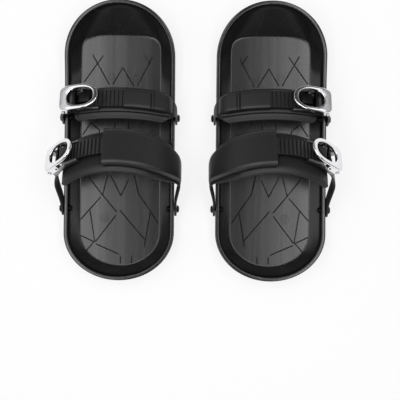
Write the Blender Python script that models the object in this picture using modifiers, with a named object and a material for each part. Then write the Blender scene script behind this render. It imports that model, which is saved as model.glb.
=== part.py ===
"""A pair of short snow skiboards with ratchet strap bindings, in metres, +Z up, toes towards +Y.

Each board is a moulded tray with two strap loops. A loop pivots on two bolts through the side walls. Its
padded strap holds one end of a toothed ladder, and a ratchet buckle on a short arm holds the other. The
right board is modelled, and the left one is its mirror image about X = 0.
"""

import math
from dataclasses import dataclass, replace

import bmesh
import bpy
import numpy as np
from mathutils import Matrix, Vector

# Clearances
GAP = 0.0003
RUNNING_GAP = 0.0004

# Board outline and its heights above the ground
BOARD_LENGTH = 0.391
BOARD_WIDTH = 0.155
# How far out each board's middle lies, so that the whole pair, buckles included, is centred
BOARD_CENTRE = {"left": 0.104, "right": 0.109}
TOE_DEPTH = 0.0775
HEEL_DEPTH = 0.067
SIDE_RIM = 0.026
TIP_RIM = 0.045
HEEL_RIM = 0.030
SIDE_EDGE = 0.011
TIP_EDGE = 0.034
HEEL_EDGE = 0.015
RIM_WIDTH = 0.0056
RIM_ROUNDING = 0.0012
FLOOR_HEIGHT = 0.005
WALL_FOOT = 0.013
WALL_FOOT_DROP = 0.006
FLOOR_INSET_SIDE = 0.021
FLOOR_INSET_TOE = 0.0445
FLOOR_INSET_HEEL = 0.019
BASE_INSET_SIDE = 0.015
BASE_INSET_TOE = 0.046
BASE_INSET_HEEL = 0.027
TIP_RISE_START = 0.075
TOE_STEPS = 18
HEEL_STEPS = 16
UNDERSIDE_STOPS = (0.0, 0.3, 0.62, 0.9)
UNDERSIDE_CURVE = 2.0
BED_STOPS = (0.0, 0.25, 0.55, 1.0)
BED_CURVE = 1.15
BED_TOE_POWER = 0.4
GUIDE_WIDTH = 0.008
GUIDE_DEPTH = 0.0012
GUIDE_LENGTH = 0.240
SCORE_WIDTH = 0.0013
SCORE_DEPTH = 0.0009

# Scores in the footbed, as (outward, forward) corners in millimetres from the board's centre
FOOTBED_SCORES = (
    ((41, 124), (17, 82)),
    ((26, 123), (53, 85)),
    ((-18, 80), (-2, 106), (12, 82)),
    ((-44, 121), (-23, 80)),
    ((54, 10), (43, 27), (31, 17), (30, 10)),
    ((8, 27), (9, 17)),
    ((-11, 27), (-11, 17)),
    ((45, -51), (26, -75), (5, -100)),
    ((18, -47), (25, -75)),
    ((28, -79), (43, -96), (53, -108)),
    ((43, -98), (36, -142)),
    ((14, -48), (-1, -77), (-12, -53)),
    ((-20, -48), (-26, -74), (-43, -98), (-54, -115)),
    ((-43, -101), (-36, -143)),
    ((0, -98), (-36, -140)),
    ((6, -105), (35, -143)),
    ((2, -160), (34, -146)),
)

# Bolts and nuts through the side walls
BOLT_HEIGHT = 0.019
BOLT_RADIUS = 0.0026
BOLT_HOLE = 0.0030
BOLT_HEAD_RADIUS = 0.0052
BOLT_HEAD_HEIGHT = 0.0032
BOLT_SOCKET_RADIUS = 0.0017
BOLT_SOCKET_DEPTH = 0.0014
BOLT_TAIL = 0.0012
NUT_RADIUS = 0.0046
NUT_HEIGHT = 0.0040

# Straps where they are bolted on
TAB_THICKNESS = 0.0032
TAB_HALF_WIDTH = 0.0095
TAB_LENGTH = 0.0095
LEG_RUN = 0.012
ARM_THICKNESS = 0.0018
PAD_NARROWING = 1.5
ARM_NARROWING = 1.2
THINNING = 2.2
COVER_THICKNESS = 0.0016

# Toothed ladder
LADDER_BASE = 0.0012
LADDER_CREST = 0.0028
LADDER_PITCH = 0.0055
TOOTH_LEAN = 0.0003
LADDER_TAIL = 0.006
LADDER_TRAVEL_TEETH = 3

# Ratchet buckle, measured along the strap (outward) and up from the ladder's underside
BUCKLE_HALF_LENGTH = 0.0245
BASE_FLOOR = 0.0014
CHEEK_GAP = 0.0010
CHEEK_THICKNESS = 0.0020
CHEEK_HEIGHT = 0.0050
EAR_RADIUS = 0.0037
AXIS_HEIGHT = 0.0080
LEVER_AXIS = 0.0230
CATCH_AXIS = -0.0025
PAWL_AXIS = 0.0085
PAWL_AXIS_HEIGHT = 0.0075
PIN_RADIUS = 0.0015
PIN_HEAD_RADIUS = 0.0024
PIN_HEAD_HEIGHT = 0.0011
RIVET_POSITION = -0.0060
RIVET_RADIUS = 0.0024
RIVET_HEAD_RADIUS = 0.0042
RIVET_HEAD_HEIGHT = 0.0008
LEVER_INNER_END = -0.0275
LEVER_OUTER_END = 0.0272
LEVER_OPENING_START = -0.0215
LEVER_OPENING_END = 0.0165
LEVER_OPENING_HALF_WIDTH = 0.0132
LEVER_UNDERSIDE = 0.0121
LEVER_THICKNESS = 0.0032
LEVER_DIP = 0.0020
RING_INNER_POWER = 2.2
RING_OUTER_POWER = 6.0
LEVER_LUG_THICKNESS = 0.0024
LEVER_LUG_RADIUS = 0.0042
LEVER_ROUNDING = 0.0011
RATCHET_RIDE_ANGLE = 10.0
DRIVE_STEP = 2
NOTCH_OFFSET = 0.0046
CATCH_HALF_WIDTH = 0.0072
CATCH_TAB_LENGTH = 0.0115
SPRING_WIRE = 0.0004
SPRING_RADIUS = 0.0024
SPRING_TURNS = 3
SPRING_PITCH = 0.0013
SPRING_HOOK = 0.0052
SPRING_REST = 0.0009
SPRING_POINTS_PER_TURN = 8

# The pad's outer face lies below the ladder, the buckle floor, the arm's tongue and the rivet's head
TONGUE_TOP = -RUNNING_GAP - BASE_FLOOR - GAP
PAD_FACE = TONGUE_TOP - ARM_THICKNESS - GAP - RIVET_HEAD_HEIGHT - RUNNING_GAP


@dataclass(frozen=True)
class Strap:
    """One strap loop's sizes: where it is bolted, how its crown stands and how wide its parts are."""

    name: str
    bolt_forward: float
    crown_forward: float
    crown_height: float
    crown_lean: float
    crown_radius: float
    crown_half_angle: float
    buckle_angle: float
    ladder_width: float
    pad_toe_side: float
    pad_heel_side: float
    pad_thickness: float
    cover_toe_side: float
    cover_heel_side: float
    bulge: float
    narrow_from: float
    narrowed_at_leg: float


TOE = Strap(
    name="toe",
    bolt_forward=0.033,
    crown_forward=0.054,
    crown_height=0.077,
    crown_lean=math.radians(20),
    crown_radius=0.150,
    crown_half_angle=math.radians(24),
    buckle_angle=math.radians(18.3),
    ladder_width=0.024,
    pad_toe_side=0.0205,
    pad_heel_side=0.0260,
    pad_thickness=0.006,
    cover_toe_side=0.0132,
    cover_heel_side=0.0132,
    bulge=0.018,
    narrow_from=math.radians(20),
    narrowed_at_leg=0.0,
)
INSTEP = Strap(
    name="instep",
    bolt_forward=-0.095,
    crown_forward=-0.0105,
    crown_height=0.105,
    crown_lean=math.radians(32.5),
    crown_radius=0.092,
    crown_half_angle=math.radians(60),
    buckle_angle=math.radians(47),
    ladder_width=0.026,
    pad_toe_side=0.0275,
    pad_heel_side=0.0365,
    pad_thickness=0.008,
    cover_toe_side=0.0260,
    cover_heel_side=0.0300,
    bulge=0.027,
    narrow_from=math.radians(28),
    narrowed_at_leg=0.45,
)
# The right instep strap is pulled tighter, so its buckle sits higher
STRAPS = {
    "left": (TOE, INSTEP),
    "right": (TOE, replace(INSTEP, buckle_angle=math.radians(42.0))),
}
# How far out across each strap the cover over the ladder ends, per board
COVER_EDGE = {
    ("right", "toe"): -0.0062,
    ("right", "instep"): 0.0011,
    ("left", "toe"): -0.0106,
    ("left", "instep"): 0.0150,
}

# Materials: colour, metallic, roughness
FINISHES = {
    "board_plastic": ((0.030, 0.030, 0.031), 0.0, 0.42),
    "strap_plastic": ((0.020, 0.020, 0.021), 0.0, 0.55),
    "ladder_plastic": ((0.014, 0.014, 0.015), 0.0, 0.38),
    "chrome": ((0.80, 0.80, 0.81), 1.0, 0.12),
    "steel": ((0.42, 0.42, 0.43), 1.0, 0.30),
    "spring_steel": ((0.30, 0.30, 0.31), 1.0, 0.28),
    "black_steel": ((0.045, 0.045, 0.047), 0.8, 0.38),
}


def clear_scene():
    for obj in list(bpy.data.objects):
        bpy.data.objects.remove(obj, do_unlink=True)


def make_collection(name, helper=False):
    collection = bpy.data.collections.new(name)
    bpy.context.scene.collection.children.link(collection)
    collection.hide_render = helper
    return collection


def make_material(name, colour, metallic, roughness):
    material = bpy.data.materials.new(name)
    material.use_nodes = True
    shader = material.node_tree.nodes["Principled BSDF"]
    shader.inputs["Base Color"].default_value = (*colour, 1.0)
    shader.inputs["Metallic"].default_value = metallic
    shader.inputs["Roughness"].default_value = roughness
    material.diffuse_color = (*colour, 1.0)
    return material


class Frame:
    """A place to build in. Its matrix leads to the world, and may mirror."""

    def __init__(self, matrix, parts, cutters):
        self.matrix = matrix
        self.parts = parts
        self.cutters = cutters

    def within(self, matrix):
        return Frame(self.matrix @ matrix, self.parts, self.cutters)

    def world(self, x, y, z):
        return self.matrix @ Vector((x, y, z))

    def _mesh(self, name, shape):
        shape.transform(self.matrix)
        shape.normal_update()
        bmesh.ops.recalc_face_normals(shape, faces=shape.faces)
        mesh = bpy.data.meshes.new(name)
        shape.to_mesh(mesh)
        shape.free()
        return mesh

    def part(self, name, shape, finish, pivot):
        """A named piece whose origin is the world point pivot."""
        mesh = self._mesh(name, shape)
        mesh.transform(Matrix.Translation(-pivot))
        obj = bpy.data.objects.new(name, mesh)
        obj.location = pivot
        mesh.materials.append(bpy.data.materials[finish])
        mesh.shade_smooth()
        mesh.set_sharp_from_angle(angle=math.radians(35))
        self.parts.objects.link(obj)
        return obj

    def cutter(self, name, shape):
        """A helper that a Boolean takes away or joins on."""
        obj = bpy.data.objects.new(name, self._mesh(name, shape))
        obj.hide_render = True
        obj.display_type = "WIRE"
        self.cutters.objects.link(obj)
        return obj


def add_boolean(obj, other, operation="DIFFERENCE"):
    modifier = obj.modifiers.new(other.name, "BOOLEAN")
    modifier.operation = operation
    modifier.solver = "EXACT"
    modifier.object = other


def prism(outline, low, high):
    """An (x, z) outline carried along Y from low to high."""
    shape = bmesh.new()
    face = shape.faces.new([shape.verts.new((x, low, z)) for x, z in outline])
    moved = bmesh.ops.extrude_face_region(shape, geom=[face])["geom"]
    corners = [item for item in moved if isinstance(item, bmesh.types.BMVert)]
    bmesh.ops.translate(shape, verts=corners, vec=(0, high - low, 0))
    return shape


def pair_of(outline, inner, outer):
    """The same prism on both sides of Y = 0, from inner to outer."""
    shape = prism(outline, inner, outer)
    other = bmesh.ops.duplicate(shape, geom=list(shape.verts) + list(shape.edges) + list(shape.faces))["geom"]
    corners = [item for item in other if isinstance(item, bmesh.types.BMVert)]
    bmesh.ops.translate(shape, verts=corners, vec=(0, -inner - outer, 0))
    return shape


def rod(radius, half_length, x, z, sides=12, shape=None):
    """A round bar along Y through (x, z), from -half_length to half_length."""
    shape = shape or bmesh.new()
    matrix = Matrix.Translation((x, 0, z)) @ Matrix.Rotation(math.pi / 2, 4, "X")
    bmesh.ops.create_cone(
        shape,
        cap_ends=True,
        segments=sides,
        radius1=radius,
        radius2=radius,
        depth=2 * half_length,
        matrix=matrix,
    )
    return shape


def box(x0, x1, y0, y1, z0, z1):
    shape = bmesh.new()
    size = Matrix.Diagonal((x1 - x0, y1 - y0, z1 - z0, 1))
    centre = Matrix.Translation(((x0 + x1) / 2, (y0 + y1) / 2, (z0 + z1) / 2))
    bmesh.ops.create_cube(shape, size=1, matrix=centre @ size)
    return shape


def loft(rings, ring_closed=False):
    """A skin over rings of equal point counts, with flat ends unless the last ring meets the first."""
    shape = bmesh.new()
    rows = [[shape.verts.new(point) for point in ring] for ring in rings]
    following = rows[1:] + rows[:1] if ring_closed else rows[1:]
    for row, after in zip(rows, following):
        for i in range(len(row)):
            j = (i + 1) % len(row)
            shape.faces.new((row[i], row[j], after[j], after[i]))
    if not ring_closed:
        shape.faces.new(rows[0][::-1])
        shape.faces.new(rows[-1])
    return shape


def circle_points(x, z, radius, start, end, steps):
    angles = np.radians(np.linspace(start, end, steps + 1))
    return list(zip(x + radius * np.cos(angles), z + radius * np.sin(angles)))


def arc_outline(inner, outer, start, end, steps):
    """An (x, z) ring sector about the origin, with angles measured from +Z towards +X."""
    angles = np.linspace(start, end, steps + 1)
    near = list(zip(inner * np.sin(angles), inner * np.cos(angles)))
    far = list(zip(outer * np.sin(angles), outer * np.cos(angles)))
    return near + far[::-1]


def smooth(value):
    value = np.clip(value, 0, 1)
    return value * value * (3 - 2 * value)


class BoardShape:
    """The board's rings. Each has its own insets at the sides, at the toe and at the heel."""

    def __init__(self):
        toe = np.linspace(0, math.pi, TOE_STEPS + 1)
        heel = np.linspace(math.pi, 2 * math.pi, HEEL_STEPS + 1)
        toe_start = BOARD_LENGTH / 2 - TOE_DEPTH
        heel_start = HEEL_DEPTH - BOARD_LENGTH / 2
        stops = np.array([(toe_start + TIP_RISE_START) / 2, TIP_RISE_START, 0, -TIP_RISE_START])
        flat = np.zeros(len(stops))
        self.across = np.concatenate([np.cos(toe), flat - 1, np.cos(heel), flat + 1])
        self.start = np.concatenate([toe_start + 0 * toe, stops, heel_start + 0 * heel, stops[::-1]])
        self.toe_reach = np.concatenate([np.sin(toe), flat, 0 * heel, flat])
        self.heel_reach = np.concatenate([0 * toe, flat, -np.sin(heel), flat])

    def spots(self, side, toe, heel, toe_power=1.0):
        """The ring's (x, y) points at these insets. A toe power under 1 squares its toe end."""
        toe_end = self.toe_reach > 0
        across = np.where(toe_end, np.sign(self.across) * np.abs(self.across) ** toe_power, self.across)
        x = across * (BOARD_WIDTH / 2 - side)
        toe_reach = np.where(toe_end, self.toe_reach, 0) ** toe_power
        y = self.start + toe_reach * (TOE_DEPTH - toe) - self.heel_reach * (HEEL_DEPTH - heel)
        return np.column_stack([x, y])

    def height(self, side, toe, heel):
        """Heights that rise from the side value towards both ends of the board."""
        along = self.spots(0, 0, 0)[:, 1]
        to_toe = smooth((along - TIP_RISE_START) / (BOARD_LENGTH / 2 - TIP_RISE_START))
        to_heel = smooth((-along - TIP_RISE_START) / (BOARD_LENGTH / 2 - TIP_RISE_START))
        return side + (toe - side) * to_toe + (heel - side) * to_heel

    def ring(self, insets, height, toe_power=1.0):
        spots = self.spots(*insets, toe_power)
        return np.column_stack([spots, np.broadcast_to(height, len(spots))])

    def rings(self):
        rim = self.height(SIDE_RIM, TIP_RIM, HEEL_RIM)
        edge = self.height(SIDE_EDGE, TIP_EDGE, HEEL_EDGE)
        foot = self.height(WALL_FOOT, TIP_RIM - WALL_FOOT_DROP, HEEL_RIM - 2 * WALL_FOOT_DROP)
        base = np.array([BASE_INSET_SIDE, BASE_INSET_TOE, BASE_INSET_HEEL])
        floor = np.array([FLOOR_INSET_SIDE, FLOOR_INSET_TOE, FLOOR_INSET_HEEL])
        even = np.ones(3)
        underside = [self.ring(base * (1 - t), edge * t**UNDERSIDE_CURVE) for t in UNDERSIDE_STOPS]
        wall = [
            self.ring(0 * even, edge + RIM_ROUNDING),
            self.ring(0 * even, rim - RIM_ROUNDING),
            self.ring(RIM_ROUNDING * even, rim),
            self.ring((RIM_WIDTH - RIM_ROUNDING) * even, rim),
            self.ring(RIM_WIDTH * even, rim - RIM_ROUNDING),
        ]
        bed = []
        for t in BED_STOPS:
            insets = RIM_WIDTH + (floor - RIM_WIDTH) * t
            rise = FLOOR_HEIGHT + (foot - FLOOR_HEIGHT) * (1 - t) ** BED_CURVE
            bed.append(self.ring(insets, rise, 1 + (BED_TOE_POWER - 1) * t))
        return underside + wall + bed


def score_boxes():
    """Narrow straight cuts along every run of every footbed score."""
    top = FLOOR_HEIGHT + SCORE_DEPTH
    for corners in FOOTBED_SCORES:
        for (x0, y0), (x1, y1) in zip(corners, corners[1:]):
            start = Vector((x0, y0, 0)) / 1000
            end = Vector((x1, y1, 0)) / 1000
            run = end - start
            shape = box(
                -run.length / 2,
                run.length / 2,
                -SCORE_WIDTH / 2,
                SCORE_WIDTH / 2,
                FLOOR_HEIGHT - SCORE_DEPTH,
                top,
            )
            turn = Matrix.Rotation(math.atan2(run.y, run.x), 4, "Z")
            shape.transform(Matrix.Translation((start + end) / 2) @ turn)
            yield shape


def build_board(ski, side_name):
    deck = ski.part(f"{side_name}_deck", loft(BoardShape().rings()), "board_plastic", ski.world(0, 0, 0))
    for strap in STRAPS[side_name]:
        hole = bmesh.new()
        for side in (-1, 1):
            turn = Matrix.Rotation(math.pi / 2, 4, "Z")
            middle = side * (BOARD_WIDTH - RIM_WIDTH) / 2
            bore = rod(BOLT_HOLE, RIM_WIDTH, 0, 0)
            bore.transform(Matrix.Translation((middle, strap.bolt_forward, BOLT_HEIGHT)) @ turn)
            hole.from_mesh(as_mesh(bore))
        add_boolean(deck, ski.cutter(f"{side_name}_{strap.name}_bolt_holes", hole))
    half_guide = GUIDE_WIDTH / 2
    guide = box(-half_guide, half_guide, -GUIDE_LENGTH / 2, GUIDE_LENGTH / 2, -GUIDE_DEPTH, GUIDE_DEPTH)
    add_boolean(deck, ski.cutter(f"{side_name}_guide_groove", guide))
    for i, shape in enumerate(score_boxes()):
        add_boolean(deck, ski.cutter(f"{side_name}_score_{i:02d}", shape))
    return deck


def as_mesh(shape):
    mesh = bpy.data.meshes.new("joined")
    shape.to_mesh(mesh)
    shape.free()
    return mesh


class Loop:
    """The centre line of one strap loop, in the board's frame, from the inner bolt to the outer one."""

    LEG_STEPS = 5
    ARC_STEP = math.radians(7)

    def __init__(self, strap):
        self.strap = strap
        self.pivot = Vector((0, strap.bolt_forward, BOLT_HEIGHT))
        lean = Matrix.Rotation(-strap.crown_lean, 4, "X")
        crown = Vector((0, strap.crown_forward, strap.crown_height))
        self.arc_centre = crown - lean.to_3x3() @ Vector((0, 0, strap.crown_radius))
        self.crown_matrix = Matrix.Translation(self.arc_centre) @ lean
        self.tab_x = BOARD_WIDTH / 2 + GAP + TAB_THICKNESS / 2

    def leg_lean(self):
        end = self.arc_point(self.strap.crown_half_angle)
        return math.atan2(end.y - self.pivot.y, end.z - self.pivot.z)

    def arc_point(self, angle):
        radius = self.strap.crown_radius
        return self.crown_matrix @ Vector((radius * math.sin(angle), 0, radius * math.cos(angle)))

    def arc_stations(self, start, end, fineness=1):
        """Stations (point, tangent, lean) along the crown's arc between two angles."""
        steps = max(1, round(fineness * (end - start) / self.ARC_STEP))
        turned = self.crown_matrix.to_3x3()
        found = []
        for angle in np.linspace(start, end, steps + 1).tolist():
            tangent = turned @ Vector((math.cos(angle), 0, -math.sin(angle)))
            found.append((self.arc_point(angle), tangent, self.strap.crown_lean))
        return found

    def leg_stations(self):
        """Stations down the outer leg, from just past the crown's arc to the tab's end."""
        strap = self.strap
        start = self.arc_point(strap.crown_half_angle)
        down = self.arc_stations(0, strap.crown_half_angle)[-1][1]
        leg_lean = self.leg_lean()
        up = Vector((0, math.sin(leg_lean), math.cos(leg_lean)))
        bolt = Vector((self.tab_x, strap.bolt_forward, BOLT_HEIGHT))
        end = bolt + up * LEG_RUN
        handles = (start, start + down * strap.bulge, end + up * strap.bulge * 0.6, end)
        found = []
        for t in np.linspace(0, 1, self.LEG_STEPS + 1)[1:].tolist():
            point = Vector((0, 0, 0))
            slope = Vector((0, 0, 0))
            for i, handle in enumerate(handles):
                point += math.comb(3, i) * t**i * (1 - t) ** (3 - i) * handle
            for i in range(3):
                slope += 3 * math.comb(2, i) * t**i * (1 - t) ** (2 - i) * (handles[i + 1] - handles[i])
            lean = strap.crown_lean + (leg_lean - strap.crown_lean) * float(smooth(t))
            found.append((point, slope.normalized(), lean))
        for drop in (0.0, 0.6 * TAB_LENGTH, TAB_LENGTH):
            found.append((bolt - up * drop, -up, leg_lean))
        return found

    def inner(self, stations):
        """The same stations on the board's inner side, running up instead of down."""
        found = []
        for point, tangent, lean in reversed(stations):
            found.append((Vector((-point.x, point.y, point.z)), Vector((tangent.x, -tangent.y, -tangent.z)), lean))
        return found


def band(stations, sizes):
    """A strap through the stations. Each size is (heel side, toe side, underside, face) from the centre line."""
    rings = []
    for (point, tangent, lean), (heel, toe, under, face) in zip(stations, sizes):
        across = Vector((0, math.cos(lean), -math.sin(lean)))
        out = tangent.cross(across).normalized()
        cut = min(0.3 * (face - under), 0.3 * (toe + heel) / 2, 0.0012)
        spots = (
            (-heel, under + cut),
            (-heel + cut, under),
            (toe - cut, under),
            (toe, under + cut),
            (toe, face - cut),
            (toe - cut, face),
            (-heel + cut, face),
            (-heel, face - cut),
        )
        rings.append([point + across * w + out * n for w, n in spots])
    return loft(rings)


def mix(top, tab, t, narrowing, begun=0.0):
    """Sizes part of the way down a leg, which may have begun to narrow above it. Depths run to the tab's sooner."""
    wide = float(smooth(begun + (1 - begun) * min(1, t * narrowing)))
    deep = float(smooth(t * THINNING))
    return tuple(a + (b - a) * share for a, b, share in zip(top, tab, (wide, wide, deep, deep)))


def arc_sizes(strap, top, tab, start, end):
    """Sizes along the crown's arc, which begin to narrow towards the inner leg."""
    found = []
    steps = max(1, round((end - start) / Loop.ARC_STEP))
    for angle in np.linspace(start, end, steps + 1):
        past = (-angle - strap.narrow_from) / (strap.crown_half_angle - strap.narrow_from)
        found.append(mix(top, tab, 0.0, 1.0, strap.narrowed_at_leg * float(np.clip(past, 0, 1))))
    return found


def tab_sizes():
    """Sizes at the bolt, below it and at the rounded end of a tab."""
    half = TAB_THICKNESS / 2
    return [
        (TAB_HALF_WIDTH, TAB_HALF_WIDTH, -half, half),
        (0.80 * TAB_HALF_WIDTH, 0.80 * TAB_HALF_WIDTH, -half, half),
        (0.36 * TAB_HALF_WIDTH, 0.36 * TAB_HALF_WIDTH, -half, half),
    ]


def leg_sizes(top, narrowing, begun=0.0):
    """Sizes down a leg, from the crown's to the tab's."""
    tab = tab_sizes()
    shares = np.linspace(0, 1, Loop.LEG_STEPS + 1)[1:]
    return [mix(top, tab[0], t, narrowing, begun) for t in shares] + tab


def bolt_bore(loop, side):
    """A round cut along X through a strap's tab."""
    shape = rod(BOLT_HOLE, TAB_THICKNESS, 0, 0)
    spot = Matrix.Translation((side * loop.tab_x, loop.pivot.y, loop.pivot.z))
    shape.transform(spot @ Matrix.Rotation(math.pi / 2, 4, "Z"))
    return shape


def cover_angle(strap, side_name):
    return math.asin(COVER_EDGE[(side_name, strap.name)] / strap.crown_radius)


def pocket_start(strap, side_name):
    """Where the ladder's pocket in the cover ends, on the inner side."""
    room = (2 * LADDER_TRAVEL_TEETH + 3) * LADDER_PITCH
    return cover_angle(strap, side_name) - room / strap.crown_radius


def build_pad_strap(ski, loop, side_name, prefix, pivot):
    """The padded strap: one pad under the whole crown, a cover over the ladder, and the inner leg."""
    strap = loop.strap
    pad = (strap.pad_heel_side, strap.pad_toe_side, PAD_FACE - strap.pad_thickness, PAD_FACE)
    end_angle = strap.crown_half_angle
    stations = loop.inner(loop.leg_stations()) + loop.arc_stations(-end_angle, end_angle)
    inner_leg = leg_sizes(pad, PAD_NARROWING, strap.narrowed_at_leg)[::-1]
    crown = arc_sizes(strap, pad, tab_sizes()[0], -end_angle, end_angle)[:-2]
    narrowed = [
        (0.93 * pad[0], 0.93 * pad[1], pad[2], pad[3]),
        (0.66 * pad[0], 0.66 * pad[1], pad[2] + 0.001, pad[3] - 0.001),
    ]
    obj = ski.part(f"{prefix}_pad_strap", band(stations, inner_leg + crown + narrowed), "strap_plastic", pivot)
    top = LADDER_CREST + RUNNING_GAP + COVER_THICKNESS
    cover = (strap.cover_heel_side, strap.cover_toe_side, PAD_FACE - 0.001, top)
    cover_stations = loop.inner(loop.leg_stations())[4:]
    cover_start = -0.94 * end_angle
    cover_end = cover_angle(strap, side_name)
    cover_stations += loop.arc_stations(cover_start, cover_end)
    leg = []
    foot = (0.9 * TAB_HALF_WIDTH, 0.9 * TAB_HALF_WIDTH, -TAB_THICKNESS / 4, TAB_THICKNESS / 4)
    for t in np.linspace(1, 0, Loop.LEG_STEPS + 1)[1:-1]:
        leg.append(mix(cover, foot, t, PAD_NARROWING, strap.narrowed_at_leg))
    sizes = leg + arc_sizes(strap, cover, foot, cover_start, cover_end)
    add_boolean(obj, ski.cutter(f"{prefix}_cover", band(cover_stations, sizes)), "UNION")
    pocket = prism(
        arc_outline(
            strap.crown_radius - RUNNING_GAP,
            strap.crown_radius + LADDER_CREST + RUNNING_GAP,
            pocket_start(strap, side_name),
            cover_angle(strap, side_name) + 0.004 / strap.crown_radius,
            10,
        ),
        -strap.ladder_width / 2 - RUNNING_GAP,
        strap.ladder_width / 2 + RUNNING_GAP,
    )
    add_boolean(obj, ski.within(loop.crown_matrix).cutter(f"{prefix}_ladder_pocket", pocket))
    add_boolean(obj, ski.cutter(f"{prefix}_inner_bore", bolt_bore(loop, -1)))
    return obj


def notch_angle(strap, step):
    """The angle of a tooth's steep face, counted in teeth from the one that the catch holds."""
    return strap.buckle_angle + (NOTCH_OFFSET + step * LADDER_PITCH) / strap.crown_radius


def build_ladder(ski, loop, side_name, prefix, pivot):
    """The toothed ladder: a curved strip whose steep faces look back towards the strap's inner side."""
    strap = loop.strap
    start = pocket_start(strap, side_name) + (LADDER_TRAVEL_TEETH + 0.5) * LADDER_PITCH / strap.crown_radius
    end = strap.buckle_angle + (BUCKLE_HALF_LENGTH + LADDER_TAIL) / strap.crown_radius
    radius = strap.crown_radius
    step = LADDER_PITCH / radius
    first = math.ceil((start - notch_angle(strap, 0)) / step) + 1
    last = math.floor((end - notch_angle(strap, 0)) / step) - 1
    spots = [(start, LADDER_BASE)]
    for i in range(first, last + 1):
        face = notch_angle(strap, i)
        spots.append((face, LADDER_BASE))
        spots.append((face + TOOTH_LEAN / radius, LADDER_CREST))
    spots.append((notch_angle(strap, last + 1), LADDER_BASE))
    spots.append((end, LADDER_BASE))
    spots.append((end, 0.0003))
    steps = max(6, round((end - start) / math.radians(5)))
    spots += [(angle, 0.0) for angle in np.linspace(end, start, steps + 1)]
    outline = [((radius + h) * math.sin(a), (radius + h) * math.cos(a)) for a, h in spots]
    shape = prism(outline, -strap.ladder_width / 2, strap.ladder_width / 2)
    return ski.within(loop.crown_matrix).part(f"{prefix}_ladder", shape, "ladder_plastic", pivot)


def build_arm(ski, loop, buckle, prefix, pivot):
    """The short arm from the outer bolt up to a tongue under the buckle."""
    strap = loop.strap
    top_angle = strap.buckle_angle - 0.014 / strap.crown_radius
    half = strap.ladder_width / 2
    tongue = (half, half, TONGUE_TOP - ARM_THICKNESS, TONGUE_TOP)
    stations = loop.arc_stations(top_angle, strap.crown_half_angle, fineness=3) + loop.leg_stations()
    leg = leg_sizes(tongue, ARM_NARROWING)
    sizes = [tongue] * (len(stations) - len(leg)) + leg
    sizes[0] = (0.8 * half, 0.8 * half, tongue[2], tongue[3])
    obj = ski.part(f"{prefix}_buckle_arm", band(stations, sizes), "strap_plastic", pivot)
    rivet_hole = bmesh.new()
    bmesh.ops.create_cone(
        rivet_hole,
        cap_ends=True,
        segments=12,
        radius1=RIVET_RADIUS + GAP,
        radius2=RIVET_RADIUS + GAP,
        depth=3 * ARM_THICKNESS,
        matrix=rivet_matrix(strap) @ Matrix.Translation((0, 0, TONGUE_TOP - ARM_THICKNESS / 2)),
    )
    add_boolean(obj, buckle.cutter(f"{prefix}_rivet_hole", rivet_hole))
    add_boolean(obj, ski.cutter(f"{prefix}_outer_bore", bolt_bore(loop, 1)))
    return obj


def rivet_matrix(strap):
    """The rivet's axis in the buckle's frame: radial from the crown's arc centre."""
    centre = Matrix.Translation((0, 0, -strap.crown_radius))
    turn = Matrix.Rotation(RIVET_POSITION / strap.crown_radius, 4, "Y")
    return centre @ turn @ Matrix.Translation((0, 0, strap.crown_radius))


def cheek_outline(strap):
    """A cheek seen from the side: a curved lower edge, a low rail and two ears for the pins."""
    radius = strap.crown_radius
    reach = BUCKLE_HALF_LENGTH / radius
    lower = radius - RUNNING_GAP - BASE_FLOOR
    bottom = [(lower * math.sin(a), lower * math.cos(a) - radius) for a in np.linspace(-reach, reach, 9)]
    end_drop = radius * (1 - math.cos(reach))
    outline = bottom[:]
    outline += [(LEVER_AXIS + EAR_RADIUS, AXIS_HEIGHT - EAR_RADIUS)]
    outline += circle_points(LEVER_AXIS, AXIS_HEIGHT, EAR_RADIUS, 0, 180, 6)
    outline += [(LEVER_AXIS - EAR_RADIUS - 0.0012, CHEEK_HEIGHT), (CATCH_AXIS + EAR_RADIUS + 0.0012, CHEEK_HEIGHT)]
    outline += circle_points(CATCH_AXIS, AXIS_HEIGHT, EAR_RADIUS, 0, 180, 6)
    outline += [(CATCH_AXIS - EAR_RADIUS - 0.004, CHEEK_HEIGHT)]
    outline += [(-BUCKLE_HALF_LENGTH, LADDER_CREST - end_drop + 0.0008)]
    return outline


def cheek_inside(strap):
    return strap.ladder_width / 2 + CHEEK_GAP


def cheek_outside(strap):
    return cheek_inside(strap) + CHEEK_THICKNESS


def lug_outside(strap):
    return cheek_outside(strap) + RUNNING_GAP + LEVER_LUG_THICKNESS


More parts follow.
